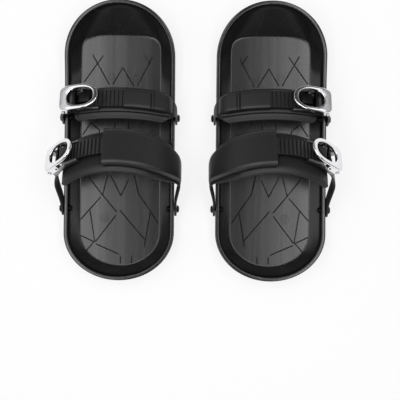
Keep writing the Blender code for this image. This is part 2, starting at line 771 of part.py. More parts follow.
def build_buckle_base(loop, buckle, prefix, pivot):
    """The buckle's channel: a curved floor, two cheeks and the rivet that holds it to the arm."""
    strap = loop.strap
    radius = strap.crown_radius
    wide = cheek_outside(strap)
    obj = buckle.part(f"{prefix}_buckle_base", prism(cheek_outline(strap), -wide, wide), "steel", pivot)
    reach = (BUCKLE_HALF_LENGTH + 0.006) / radius
    channel = [
        ((radius - RUNNING_GAP) * math.sin(a), (radius - RUNNING_GAP) * math.cos(a) - radius)
        for a in np.linspace(-reach, reach, 9)
    ]
    channel += [(BUCKLE_HALF_LENGTH + 0.006, 0.02), (-BUCKLE_HALF_LENGTH - 0.006, 0.02)]
    inside = cheek_inside(strap)
    add_boolean(obj, buckle.cutter(f"{prefix}_ladder_channel", prism(channel, -inside, inside)))
    holes = rod(PIN_RADIUS + GAP, 2 * wide, LEVER_AXIS, AXIS_HEIGHT)
    rod(PIN_RADIUS + GAP, 2 * wide, CATCH_AXIS, AXIS_HEIGHT, shape=holes)
    add_boolean(obj, buckle.cutter(f"{prefix}_pin_holes", holes))
    head = TONGUE_TOP - ARM_THICKNESS - GAP
    levels = (
        (RIVET_RADIUS, -RUNNING_GAP - BASE_FLOOR / 2),
        (RIVET_RADIUS, head),
        (RIVET_HEAD_RADIUS, head),
        (RIVET_HEAD_RADIUS - 0.0006, head - RIVET_HEAD_HEIGHT),
    )
    angles = np.linspace(0, 2 * math.pi, 13)[:-1]
    rings = [[(r * math.cos(a), r * math.sin(a), z) for a in angles] for r, z in levels]
    rivet = loft(rings)
    rivet.transform(rivet_matrix(strap))
    add_boolean(obj, buckle.cutter(f"{prefix}_rivet", rivet), "UNION")
    return obj


def oval(start, end, half_width, grow, sides=24):
    """An (x, y) oval between two X values, rounder at its inner end and squarer at its outer end."""
    centre = (start + end) / 2
    half = (end - start) / 2
    angles = np.linspace(0, 2 * math.pi, sides + 1)[:-1]
    power = np.where(np.cos(angles) > 0, 2 / RING_OUTER_POWER, 2 / RING_INNER_POWER)
    x = centre + (half + grow) * np.sign(np.cos(angles)) * np.abs(np.cos(angles)) ** power
    y = (half_width + grow) * np.sign(np.sin(angles)) * np.abs(np.sin(angles)) ** power
    return np.column_stack([x, y])


def lever_skin(strap):
    """The lever's ring, which dips a little towards its inner end to follow the ladder."""
    half = lug_outside(strap) + GAP
    top = LEVER_UNDERSIDE + LEVER_THICKNESS
    round_off = LEVER_ROUNDING
    outer = (LEVER_INNER_END, LEVER_OUTER_END, half)
    hole = (LEVER_OPENING_START, LEVER_OPENING_END, LEVER_OPENING_HALF_WIDTH)
    levels = (
        (oval(*outer, -round_off), LEVER_UNDERSIDE),
        (oval(*outer, 0), LEVER_UNDERSIDE + round_off),
        (oval(*outer, 0), top - round_off),
        (oval(*outer, -round_off), top),
        (oval(*hole, round_off), top),
        (oval(*hole, 0), top - round_off),
        (oval(*hole, 0), LEVER_UNDERSIDE),
    )
    rings = []
    for flat, height in levels:
        dip = LEVER_DIP * (np.clip(-flat[:, 0], 0, None) / -LEVER_INNER_END) ** 2
        rings.append(np.column_stack([flat, height - dip]))
    return loft(rings, ring_closed=True)


def lug_outline():
    """A lever lug seen from the side, round about the lever's pin."""
    outline = circle_points(LEVER_AXIS, AXIS_HEIGHT, LEVER_LUG_RADIUS, -110, 20, 6)
    outline += [(LEVER_OUTER_END - 0.0030, LEVER_UNDERSIDE + 0.0012)]
    outline += [(PAWL_AXIS - 0.0045, LEVER_UNDERSIDE + 0.0012)]
    outline += [(PAWL_AXIS - 0.0032, PAWL_AXIS_HEIGHT - 0.0008), (PAWL_AXIS - 0.0012, PAWL_AXIS_HEIGHT - 0.0029)]
    return outline


def build_lever(loop, buckle, prefix, pivot):
    strap = loop.strap
    obj = buckle.part(f"{prefix}_lever", lever_skin(strap), "chrome", pivot)
    near = cheek_outside(strap) + RUNNING_GAP
    lugs = pair_of(lug_outline(), near, lug_outside(strap))
    add_boolean(obj, buckle.cutter(f"{prefix}_lever_lugs", lugs), "UNION")
    holes = rod(PIN_RADIUS + GAP, 2 * near, LEVER_AXIS, AXIS_HEIGHT)
    rod(PIN_RADIUS + GAP, 2 * near, PAWL_AXIS, PAWL_AXIS_HEIGHT, shape=holes)
    add_boolean(obj, buckle.cutter(f"{prefix}_lever_holes", holes))
    return obj


def build_pin(buckle, name, grip, axis_x, finish, pivot):
    """A headed cross pin along Y."""
    obj = buckle.part(name, rod(PIN_RADIUS, grip + PIN_HEAD_HEIGHT / 2, axis_x, AXIS_HEIGHT), finish, pivot)
    heads = bmesh.new()
    for side in (-1, 1):
        turn = Matrix.Rotation(-side * math.pi / 2, 4, "X")
        bmesh.ops.create_cone(
            heads,
            cap_ends=True,
            segments=12,
            radius1=PIN_HEAD_RADIUS,
            radius2=0.7 * PIN_HEAD_RADIUS,
            depth=PIN_HEAD_HEIGHT,
            matrix=Matrix.Translation((axis_x, side * (grip + PIN_HEAD_HEIGHT / 2), AXIS_HEIGHT)) @ turn,
        )
    add_boolean(obj, buckle.cutter(f"{name}_heads", heads), "UNION")
    return obj


def notch_point(strap, step, back, height):
    """A point in the buckle's frame, back from a tooth's steep face and up from the ladder's underside."""
    angle = (NOTCH_OFFSET + step * LADDER_PITCH - back) / strap.crown_radius
    radius = strap.crown_radius + height
    return Vector((radius * math.sin(angle), 0, radius * math.cos(angle) - strap.crown_radius))


def pawl_nose(strap, step):
    """The nose of a pawl in a notch: its front corner, the front's top and its rear corner."""
    front = notch_point(strap, step, 0.00035, LADDER_BASE + 0.0007)
    rear = notch_point(strap, step, 0.0019, LADDER_BASE + 0.0010)
    return front, front + Vector((0.0001, 0, 0.0024)), rear


def ridden(outline, axis_x, axis_z):
    """The outline turned about its axis from the notch to where it rides just above the teeth."""
    angle = math.radians(RATCHET_RIDE_ANGLE)
    found = []
    for x, z in outline:
        dx, dz = x - axis_x, z - axis_z
        found.append(
            (
                axis_x + dx * math.cos(angle) - dz * math.sin(angle),
                axis_z + dx * math.sin(angle) + dz * math.cos(angle),
            )
        )
    return found


def build_catch(loop, buckle, prefix, pivot):
    """The holding pawl, with a nose for the teeth and a finger tab on the other side of its pin."""
    front, front_top, rear = pawl_nose(loop.strap, 0)
    x, z = CATCH_AXIS, AXIS_HEIGHT
    tab = x - CATCH_TAB_LENGTH
    outline = [(front.x, front.z), (front_top.x, front_top.z), (x + 0.0026, z + 0.0026), (x, z + 0.0034)]
    outline += [(x - 0.0030, z + 0.0036), (tab, z + 0.0048), (tab, z + 0.0030), (x - 0.0038, z + 0.0008)]
    outline += [(x - 0.0032, z - 0.0012), (x - 0.0014, z - 0.0030), (rear.x, rear.z)]
    shape = prism(ridden(outline, x, z), -CATCH_HALF_WIDTH, CATCH_HALF_WIDTH)
    obj = buckle.part(f"{prefix}_catch", shape, "black_steel", pivot)
    hole = rod(PIN_RADIUS + GAP, 2 * CATCH_HALF_WIDTH, x, z)
    add_boolean(obj, buckle.cutter(f"{prefix}_catch_hole", hole))
    return obj


def build_drive_pawl(loop, buckle, prefix, pivot):
    """The driving pawl, hung on its own trunnions between the lever's lugs."""
    strap = loop.strap
    front, front_top, rear = pawl_nose(strap, DRIVE_STEP)
    x, z = PAWL_AXIS, PAWL_AXIS_HEIGHT
    outline = [(front.x, front.z), (front_top.x, front_top.z), (x + 0.0016, z + 0.0023), (x - 0.0012, z + 0.0024)]
    outline += [(x - 0.0025, z + 0.0006), (x - 0.0019, z - 0.0018), (rear.x, rear.z)]
    half = strap.ladder_width / 2 - 0.0010
    shape = prism(ridden(outline, x, z), -half, half)
    obj = buckle.part(f"{prefix}_drive_pawl", shape, "black_steel", pivot)
    trunnions = rod(PIN_RADIUS, lug_outside(strap) - GAP, x, z)
    add_boolean(obj, buckle.cutter(f"{prefix}_trunnions", trunnions), "UNION")
    return obj


def build_spring(loop, buckle, prefix, pivot):
    """The catch's torsion spring: turns round its pin, one leg over the nose and one on the cheek."""
    count = SPRING_TURNS * SPRING_POINTS_PER_TURN
    start_w = CATCH_HALF_WIDTH + SPRING_WIRE + 2 * GAP
    hook = CATCH_AXIS + SPRING_HOOK
    rest = AXIS_HEIGHT + SPRING_REST
    points = [(hook, 0.6 * CATCH_HALF_WIDTH, rest), (hook, start_w, rest + SPRING_WIRE)]
    for i in range(count + 1):
        angle = math.pi / 2 + 2 * math.pi * i / SPRING_POINTS_PER_TURN
        w = start_w + SPRING_PITCH * i / SPRING_POINTS_PER_TURN
        x = CATCH_AXIS + SPRING_RADIUS * math.cos(angle)
        points.append((x, w, AXIS_HEIGHT + SPRING_RADIUS * math.sin(angle)))
    points.append((CATCH_AXIS + 0.0040, points[-1][1] + 0.0003, AXIS_HEIGHT + SPRING_RADIUS - 0.0002))
    points.append((CATCH_AXIS + 0.0085, cheek_inside(loop.strap) + 0.0008, CHEEK_HEIGHT + SPRING_WIRE + 0.0006))
    curve = bpy.data.curves.new(f"{prefix}_spring_path", "CURVE")
    curve.dimensions = "3D"
    curve.bevel_depth = SPRING_WIRE
    curve.bevel_resolution = 1
    curve.use_fill_caps = True
    spline = curve.splines.new("POLY")
    spline.points.add(len(points) - 1)
    for spot, point in zip(spline.points, points):
        spot.co = (*point, 1)
    guide = bpy.data.objects.new(curve.name, curve)
    buckle.cutters.objects.link(guide)
    bpy.context.view_layer.update()
    mesh = bpy.data.meshes.new_from_object(guide.evaluated_get(bpy.context.evaluated_depsgraph_get()))
    bpy.data.objects.remove(guide, do_unlink=True)
    shape = bmesh.new()
    shape.from_mesh(mesh)
    bmesh.ops.remove_doubles(shape, verts=shape.verts, dist=1e-6)
    return buckle.part(f"{prefix}_catch_spring", shape, "spring_steel", pivot)


def turned_part(ski, name, profile, finish, place):
    """A part turned about its own Z axis from (radius, height) points, top to bottom."""
    mesh = bpy.data.meshes.new(name)
    mesh.from_pydata([(r, 0, z) for r, z in profile], [(i, i + 1) for i in range(len(profile) - 1)], [])
    mesh.materials.append(bpy.data.materials[finish])
    obj = bpy.data.objects.new(name, mesh)
    obj.location, obj.rotation_euler = place
    ski.parts.objects.link(obj)
    screw = obj.modifiers.new("Screw", "SCREW")
    screw.axis = "Z"
    screw.steps = 11
    screw.render_steps = 11
    screw.use_merge_vertices = True
    screw.merge_threshold = 0.00001
    return obj


def build_fasteners(ski, loop, prefix, mirrored):
    """The two bolts, heads outside the straps' tabs, and their nuts inside the walls."""
    found = []
    head_seat = loop.tab_x + TAB_THICKNESS / 2 + GAP
    nut_seat = BOARD_WIDTH / 2 - RIM_WIDTH - GAP
    tail = nut_seat - NUT_HEIGHT - BOLT_TAIL
    profile = [
        (0, head_seat + BOLT_HEAD_HEIGHT - BOLT_SOCKET_DEPTH),
        (BOLT_SOCKET_RADIUS, head_seat + BOLT_HEAD_HEIGHT - BOLT_SOCKET_DEPTH),
        (BOLT_SOCKET_RADIUS, head_seat + BOLT_HEAD_HEIGHT),
        (0.62 * BOLT_HEAD_RADIUS, head_seat + BOLT_HEAD_HEIGHT - 0.0002),
        (0.90 * BOLT_HEAD_RADIUS, head_seat + 0.52 * BOLT_HEAD_HEIGHT),
        (BOLT_HEAD_RADIUS, head_seat + 0.0004),
        (BOLT_HEAD_RADIUS, head_seat),
        (BOLT_RADIUS, head_seat),
        (BOLT_RADIUS, tail + 0.0005),
        (BOLT_RADIUS - 0.0005, tail),
        (0, tail),
    ]
    for side, word in ((-1, "inner"), (1, "outer")):
        outward = side * (-1 if mirrored else 1)
        origin = ski.world(0, loop.pivot.y, loop.pivot.z)
        turn = (0, outward * math.pi / 2, 0)
        found.append(turned_part(ski, f"{prefix}_{word}_bolt", profile, "black_steel", (origin, turn)))
        nut = bmesh.new()
        bmesh.ops.create_cone(nut, cap_ends=True, segments=6, radius1=NUT_RADIUS, radius2=NUT_RADIUS, depth=NUT_HEIGHT)
        bore = bmesh.new()
        size = BOLT_RADIUS + GAP
        bmesh.ops.create_cone(bore, cap_ends=True, segments=12, radius1=size, radius2=size, depth=2 * NUT_HEIGHT)
        middle = side * (nut_seat - NUT_HEIGHT / 2)
        place = Matrix.Translation((middle, loop.pivot.y, loop.pivot.z)) @ Matrix.Rotation(math.pi / 2, 4, "Y")
        spot = ski.within(place)
        obj = spot.part(f"{prefix}_{word}_nut", nut, "black_steel", spot.world(0, 0, 0))
        add_boolean(obj, spot.cutter(f"{prefix}_{word}_nut_bore", bore))
        found.append(obj)
    return found


def build_binding(ski, strap, side_name, mirrored):
    """One strap loop with its buckle. All its moving pieces hang on an empty on the bolts' axis."""
    prefix = f"{side_name}_{strap.name}"
    loop = Loop(strap)
    pivot = ski.world(*loop.pivot)
    place = Matrix.Rotation(strap.buckle_angle, 4, "Y") @ Matrix.Translation((0, 0, strap.crown_radius))
    buckle = ski.within(loop.crown_matrix @ place)
    lever_pivot = buckle.world(LEVER_AXIS, 0, AXIS_HEIGHT)
    catch_pivot = buckle.world(CATCH_AXIS, 0, AXIS_HEIGHT)
    pawl_pivot = buckle.world(PAWL_AXIS, 0, PAWL_AXIS_HEIGHT)
    arc_centre = ski.world(*loop.arc_centre)
    moving = [
        build_pad_strap(ski, loop, side_name, prefix, pivot),
        build_ladder(ski, loop, side_name, prefix, arc_centre),
        build_arm(ski, loop, buckle, prefix, pivot),
        build_buckle_base(loop, buckle, prefix, pivot),
        build_lever(loop, buckle, prefix, lever_pivot),
        build_drive_pawl(loop, buckle, prefix, pawl_pivot),
        build_catch(loop, buckle, prefix, catch_pivot),
        build_spring(loop, buckle, prefix, catch_pivot),
        build_pin(buckle, f"{prefix}_lever_pin", lug_outside(strap) + GAP, LEVER_AXIS, "chrome", lever_pivot),
        build_pin(buckle, f"{prefix}_catch_pin", cheek_outside(strap) + GAP, CATCH_AXIS, "chrome", catch_pivot),
    ]
    axis = bpy.data.objects.new(f"{prefix}_bolt_axis", None)
    axis.location = pivot
    ski.parts.objects.link(axis)
    for obj in moving:
        obj.location -= pivot
        obj.parent = axis
    build_fasteners(ski, loop, prefix, mirrored)


def build_ski(side_name, mirrored, parts, cutters):
    """One board with both bindings, its outer side towards +X unless it is mirrored."""
    matrix = Matrix.Translation((BOARD_CENTRE[side_name], 0, 0))
    if mirrored:
        matrix = Matrix.Scale(-1, 4, (1, 0, 0)) @ matrix
    ski = Frame(matrix, parts, cutters)
    build_board(ski, side_name)
    for strap in STRAPS[side_name]:
        build_binding(ski, strap, side_name, mirrored)


def main():
    clear_scene()
    parts = make_collection("skiboards")
    cutters = make_collection("cutters", helper=True)
    for name, values in FINISHES.items():
        make_material(name, *values)
    build_ski("right", False, parts, cutters)
    build_ski("left", True, parts, cutters)


main()
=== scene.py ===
"""The finished look of a pair of short black skiboards: surfaces, finishes, camera and light.

All sizes are in metres. A board's own frame has x outward, y towards the toe and z up, and the left board
is the right one's mirror image.
"""

import logging
import math
from collections.abc import Sequence
from dataclasses import dataclass, field, replace
from enum import Enum

import bmesh
import bpy
import numpy as np
from mathutils import Matrix, Vector


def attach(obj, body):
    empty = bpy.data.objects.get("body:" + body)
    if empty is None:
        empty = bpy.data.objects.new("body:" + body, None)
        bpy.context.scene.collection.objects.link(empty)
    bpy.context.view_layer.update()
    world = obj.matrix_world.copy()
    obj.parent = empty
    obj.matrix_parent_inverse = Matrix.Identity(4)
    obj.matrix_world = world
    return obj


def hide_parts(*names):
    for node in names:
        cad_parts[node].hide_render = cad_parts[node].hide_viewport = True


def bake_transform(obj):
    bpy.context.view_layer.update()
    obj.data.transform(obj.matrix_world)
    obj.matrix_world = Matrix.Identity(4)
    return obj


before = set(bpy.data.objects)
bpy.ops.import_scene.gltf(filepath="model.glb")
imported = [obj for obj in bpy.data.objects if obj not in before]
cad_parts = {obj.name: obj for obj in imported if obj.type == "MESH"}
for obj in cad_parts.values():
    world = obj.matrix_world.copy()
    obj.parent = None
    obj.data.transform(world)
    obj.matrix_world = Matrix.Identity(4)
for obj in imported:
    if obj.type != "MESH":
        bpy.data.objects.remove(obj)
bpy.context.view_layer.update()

LOG = logging.getLogger("skiboards")

Array = np.ndarray
# What a node's input takes: a value, or a socket to link from
Input = object

# Clearances, between pieces that move on each other and between fixed ones
RUNNING_GAP = 0.0004
GAP = 0.0003
# The angle in degrees past which an edge stays sharp, where nothing else is said
SHARP = 38.0

BOARD_WIDTH = 0.155
RIM_WIDTH = 0.0056
BOLT_HEIGHT = 0.019
BOLT_HOLE = 0.0030
TAB_THICKNESS = 0.0032
TAB_HALF_WIDTH = 0.0095
TAB_LENGTH = 0.0095
# How far below the tab's top each of its sections lies
TAB_DROPS = TAB_LENGTH * np.array([0, 0.25, 0.5, 0.7, 0.85, 0.95, 1.0])
LEG_RUN = 0.012
LADDER_PITCH = 0.0055
ARM_THICKNESS = 0.0018
# Heights over the ladder's underside
LADDER_BASE = 0.0012
LADDER_CREST = 0.0028
TONGUE_TOP = -0.0021
PAD_FACE = -0.0054
COVER_TOP = 0.0048


class Side(Enum):
    """Which board a piece belongs to. The value is the sign of its world x."""

    LEFT = -1
    RIGHT = 1

    @property
    def word(self) -> str:
        """The side as it stands in the names of nodes."""
        return self.name.lower()

    @property
    def centre(self) -> float:
        """How far out the board's middle lies, so that the pair with its buckles is centred."""
        return 0.104 if self is Side.LEFT else 0.109

    def place(self, points: Array) -> Array:
        """Takes points from the board's own frame to the world.

        Args:
            points: Positions, with the coordinates last.

        Returns:
            The same positions in the world.
        """
        moved = np.array(points, dtype=float)
        moved[..., 0] = self.value * (moved[..., 0] + self.centre)
        return moved


def smooth(value: Array) -> Array:
    """An S curve from 0 to 1, 3v² - 2v³, held at its ends."""
    held = np.clip(value, 0, 1)
    return held * held * (3 - 2 * held)


def bump(distance: Array, half_width: float) -> Array:
    """A rounded ridge, cosine squared, that is 1 at distance 0 and 0 from half_width on."""
    return np.cos(np.clip(np.abs(distance) / half_width, 0, 1) * math.pi / 2) ** 2


def full_turn(sides: int) -> Array:
    """Evenly spaced angles round a circle."""
    return np.linspace(0, 2 * math.pi, sides, endpoint=False)


class Skin:
    """Points and faces gathered for one mesh, grid by grid."""

    def __init__(self) -> None:
        """Starts with nothing."""
        self.points: list[Array] = []
        self.faces: list[list[int]] = []
        self.marks: list[Array] = []
        self.count = 0

    def grid(self, rows: Array, ring_closed: bool = False, mark: Array | None = None) -> None:
        """Adds a surface over rows of points, each row a closed ring.

        Args:
            rows: Points of shape (rows, points in a ring, 3).
            ring_closed: Whether the last row joins the first, as on a torus. If not, both ends are filled.
            mark: One value for each point, kept as the mesh's own attribute.
        """
        many, around = rows.shape[:2]
        index = np.arange(many * around).reshape(many, around) + self.count
        following = np.roll(index, -1, axis=0) if ring_closed else index[1:]
        near = index if ring_closed else index[:-1]
        corners = [near, np.roll(near, -1, axis=1), np.roll(following, -1, axis=1), following]
        self.faces += np.stack(corners, axis=-1).reshape(-1, 4).tolist()
        if not ring_closed:
            self.faces += [index[0][::-1].tolist(), index[-1].tolist()]
        self.points.append(rows.reshape(-1, 3))
        marks = np.zeros(many * around) if mark is None else np.asarray(mark, dtype=float)
        self.marks.append(marks.reshape(-1))
        self.count += many * around

    def mesh(self, name: str, mark_name: str = "") -> bpy.types.Mesh:
        """Makes the mesh, with its faces pointing out and its sharp edges kept.

        Args:
            name: The mesh's name.
            mark_name: The attribute that holds the points' marks, if there is one.

        Returns:
            The new mesh.
        """
        mesh = bpy.data.meshes.new(name)
        mesh.from_pydata(np.concatenate(self.points).tolist(), [], self.faces)
        if mark_name:
            marks = mesh.attributes.new(mark_name, "FLOAT", "POINT")
            marks.data.foreach_set("value", np.concatenate(self.marks).astype(np.float32))
        return turned_out(mesh)


def turned_out(mesh: bpy.types.Mesh, sharp: float = SHARP) -> bpy.types.Mesh:
    """Points a closed mesh's faces outwards and shades it smooth but for its sharp edges.

    Args:
        mesh: The mesh, which is changed.
        sharp: The angle in degrees past which an edge stays sharp.

    Returns:
        The same mesh.
    """
    shape = bmesh.new()
    shape.from_mesh(mesh)
    shape.normal_update()
    bmesh.ops.recalc_face_normals(shape, faces=shape.faces)
    shape.to_mesh(mesh)
    shape.free()
    mesh.shade_smooth()
    mesh.set_sharp_from_angle(angle=math.radians(sharp))
    return mesh


def grid_mesh(
    name: str, rows: Array, ring_closed: bool = False, mark: Array | None = None, mark_name: str = ""
) -> bpy.types.Mesh:
    """A mesh of one surface over rows of points.

    Args:
        name: The mesh's name.
        rows: Points of shape (rows, points in a ring, 3).
        ring_closed: Whether the last row joins the first.
        mark: One value for each point.
        mark_name: The attribute that holds these values.

    Returns:
        The new mesh.
    """
    skin = Skin()
    skin.grid(rows, ring_closed, mark)
    return skin.mesh(name, mark_name)


class Nodes:
    """Adds nodes to a tree and links them by the names of their sockets."""

    def __init__(self, tree: bpy.types.NodeTree) -> None:
        """Takes the tree that the nodes go into."""
        self.tree = tree

    def fill(self, node: bpy.types.Node, inputs: dict[str | int, Input]) -> None:
        """Sets a node's inputs.

        Args:
            node: The node.
            inputs: A value, or a socket to link from, for each named input.
        """
        for key, value in inputs.items():
            if isinstance(value, bpy.types.NodeSocket):
                self.tree.links.new(value, node.inputs[key])
            else:
                node.inputs[key].default_value = value

    def add(
        self, kind: str, inputs: dict[str | int, Input] | None = None, **settings: object
    ) -> bpy.types.Node:
        """Adds one node.

        Args:
            kind: The node's type.
            inputs: A value, or a socket to link from, for each named input.
            settings: The node's own settings.

        Returns:
            The new node.
        """
        node = self.tree.nodes.new(kind)
        for key, value in settings.items():
            setattr(node, key, value)
        self.fill(node, inputs or {})
        return node

    def math(self, operation: str, *values: Input, clamped: bool = False) -> bpy.types.NodeSocket:
        """The result of a Math node on these values."""
        node = self.add("ShaderNodeMath", dict(enumerate(values)), operation=operation, use_clamp=clamped)
        return node.outputs[0]

    def place(self) -> bpy.types.NodeSocket:
        """Places in the piece's own space."""
        return self.add("ShaderNodeTexCoord").outputs["Object"]

    def noise(self, place: Input, scale: Input, **more: float) -> bpy.types.NodeSocket:
        """Noise over a space, its other inputs given by their names."""
        return self.add("ShaderNodeTexNoise", {"Vector": place, "Scale": scale, **more}).outputs["Fac"]

    def stretched(self, place: Input, *factors: Input) -> bpy.types.NodeSocket:
        """A space whose x, y and z are multiplied by three factors."""
        squeeze = self.add("ShaderNodeCombineXYZ", dict(enumerate(factors))).outputs[0]
        return self.add("ShaderNodeVectorMath", {0: place, 1: squeeze}, operation="MULTIPLY").outputs[0]

    def ramp(self, value: Input, stops: Sequence[tuple[float, float]]) -> bpy.types.NodeSocket:
        """A grey ramp through (position, grey) stops."""
        node = self.add("ShaderNodeValToRGB", {"Fac": value})
        elements = node.color_ramp.elements
        while len(elements) < len(stops):
            elements.new(0.5)
        for element, (position, grey) in zip(elements, stops):
            element.position = position
            element.color = (grey, grey, grey, 1)
        return node.outputs["Color"]

    def mix(self, share: Input, first: Input, second: Input) -> bpy.types.NodeSocket:
        """Two colours mixed by a share."""
        return self.add("ShaderNodeMix", {0: share, 6: first, 7: second}, data_type="RGBA").outputs[2]


def new_group(
    name: str, inputs: Sequence[tuple[str, float]], outputs: Sequence[str]
) -> tuple[Nodes, tuple[bpy.types.Node, bpy.types.Node]]:
    """An empty shader node group.

    Args:
        name: The group's name.
        inputs: Each input's name and usual value.
        outputs: The outputs' names.

    Returns:
        The tree's nodes, and its own input and output nodes.
    """
    tree = bpy.data.node_groups.new(name, "ShaderNodeTree")
    for label, value in inputs:
        socket = tree.interface.new_socket(label, in_out="INPUT", socket_type="NodeSocketFloat")
        socket.default_value = value
    for label in outputs:
        tree.interface.new_socket(label, in_out="OUTPUT", socket_type="NodeSocketFloat")
    nodes = Nodes(tree)
    return nodes, (nodes.add("NodeGroupInput"), nodes.add("NodeGroupOutput"))


def moulded_grain() -> bpy.types.NodeTree:
    """Moulded plastic: a fine pebble with long flow streaks along y, and a slow mottle.

    Returns:
        A group with a height, a streak mask and a mottle mask.
    """
    inputs = (("Pebble Scale", 900.0), ("Streak Scale", 38.0), ("Stretch", 0.04), ("Mottle Scale", 18.0))
    nodes, (given, result) = new_group("moulded_grain", inputs, ("Height", "Streak", "Mottle"))
    place = nodes.place()
    pebble = nodes.noise(place, given.outputs["Pebble Scale"], Detail=3.0)
    drawn = nodes.stretched(place, 1.0, given.outputs["Stretch"], 0.6)
    streak = nodes.noise(drawn, given.outputs["Streak Scale"], Detail=3.0, Roughness=0.45)
    mottle = nodes.noise(place, given.outputs["Mottle Scale"], Detail=2.0)
    height = nodes.math("MULTIPLY_ADD", streak, 0.35, pebble)
    nodes.fill(result, {"Height": height, "Streak": streak, "Mottle": mottle})
    return nodes.tree


def edge_wear() -> bpy.types.NodeTree:
    """Rubbed edges: where the surface bends outward, broken up by noise. Level faces have none.

    Returns:
        A group with one mask, 1 where the edge is rubbed.
    """
    nodes, (given, result) = new_group("edge_wear", (("Start", 0.53), ("Break Scale", 220.0)), ("Mask",))
    surface = nodes.add("ShaderNodeNewGeometry")
    upward = nodes.add("ShaderNodeSeparateXYZ", {0: surface.outputs["True Normal"]}).outputs["Z"]
    bent = nodes.math("LESS_THAN", upward, 0.9995)
    noise = nodes.noise(nodes.place(), given.outputs["Break Scale"], Detail=3.0)
    over = nodes.math("SUBTRACT", surface.outputs["Pointiness"], given.outputs["Start"])
    broken = nodes.math("MULTIPLY", nodes.math("MULTIPLY", over, bent), noise)
    nodes.fill(result, {"Mask": nodes.math("MULTIPLY", broken, 26.0, clamped=True)})
    return nodes.tree


def fine_scratches() -> bpy.types.NodeTree:
    """Hairline scratches: thin level lines of stretched noise, turned by an angle.

    Returns:
        A group with one mask, 1 in a scratch.
    """
    inputs = (("Scale", 40.0), ("Stretch", 0.05), ("Turn", 0.2), ("Width", 0.012))
    nodes, (given, result) = new_group("fine_scratches", inputs, ("Mask",))
    turned = nodes.add(
        "ShaderNodeVectorRotate",
        {"Vector": nodes.place(), "Angle": given.outputs["Turn"]},
        rotation_type="Z_AXIS",
    )
    drawn = nodes.stretched(turned.outputs[0], 1.0, given.outputs["Stretch"], 1.0)
    noise = nodes.noise(drawn, given.outputs["Scale"], Detail=5.0)
    away = nodes.math("ABSOLUTE", nodes.math("SUBTRACT", noise, 0.5))
    share = nodes.math("DIVIDE", away, given.outputs["Width"])
    nodes.fill(result, {"Mask": nodes.math("SUBTRACT", 1.0, share, clamped=True)})
    return nodes.tree


def grouped(nodes: Nodes, name: str, **values: float) -> bpy.types.Node:
    """Places a shared group in a material.

    Args:
        nodes: The material's nodes.
        name: The group's name.
        values: Its inputs, with underscores for spaces.

    Returns:
        The group's node.
    """
    inputs = {label.replace("_", " ").title(): value for label, value in values.items()}
    return nodes.add("ShaderNodeGroup", inputs, node_tree=bpy.data.node_groups[name])


def new_material(name: str, metallic: float) -> tuple[bpy.types.Material, Nodes, bpy.types.Node]:
    """A material with a plain Principled shader, to be dressed.

    Args:
        name: The material's name.
        metallic: The metallic value.

    Returns:
        The material, its nodes and its shader.
    """
    material = bpy.data.materials.new(f"{name}_finish")
    material.use_nodes = True
    nodes = Nodes(material.node_tree)
    shader = material.node_tree.nodes["Principled BSDF"]
    shader.inputs["Metallic"].default_value = metallic
    return material, nodes, shader


def grey(level: float) -> tuple[float, float, float, float]:
    """A neutral black or grey, a hair cooler than pure."""
    return (level, level, level * 1.02, 1.0)


@dataclass(frozen=True)
class MouldedPlastic:
    """Injection-moulded or rubbery black plastic.

    The base colour drifts with the mottle and whitens on rubbed edges, the roughness follows the flow
    streaks, and the bump is the pebble on a slow wave.
    """

    name: str
    level: float
    roughness: float
    pebble: float
    pebble_depth: float
    streak: float
    stretch: float
    worn: float
    scratched: float = 0.0
    wave: float = 0.0

    def build(self) -> bpy.types.Material:
        """Makes the material."""
        material, nodes, shader = new_material(self.name, 0.0)
        grain = grouped(nodes, "moulded_grain", pebble_scale=self.pebble, stretch=self.stretch)
        wear = grouped(nodes, "edge_wear")
        scratches = grouped(nodes, "fine_scratches", turn=0.12)
        base = nodes.mix(grain.outputs["Mottle"], grey(self.level * 0.85), grey(self.level * 1.15))
        worn = nodes.math("MULTIPLY", wear.outputs["Mask"], self.worn)
        rubbed = nodes.mix(worn, base, grey(self.level * 4 + 0.03))
        marked = nodes.math("MULTIPLY", scratches.outputs["Mask"], self.scratched)
        colour = nodes.mix(marked, rubbed, grey(self.level * 3 + 0.02))
        smoothest = self.roughness - self.streak / 2
        drift = nodes.math("MULTIPLY_ADD", grain.outputs["Streak"], self.streak, smoothest)
        rough = nodes.math("MULTIPLY_ADD", wear.outputs["Mask"], 0.12 * self.worn, drift)
        pebble = nodes.math("MULTIPLY", grain.outputs["Height"], self.pebble_depth)
        height = nodes.math("MULTIPLY_ADD", grain.outputs["Streak"], self.wave, pebble)
        relief = nodes.add("ShaderNodeBump", {"Height": height, "Distance": 1.0, "Strength": 0.6})
        nodes.fill(shader, {"Base Color": colour, "Roughness": rough, "Normal": relief.outputs["Normal"]})
        return material


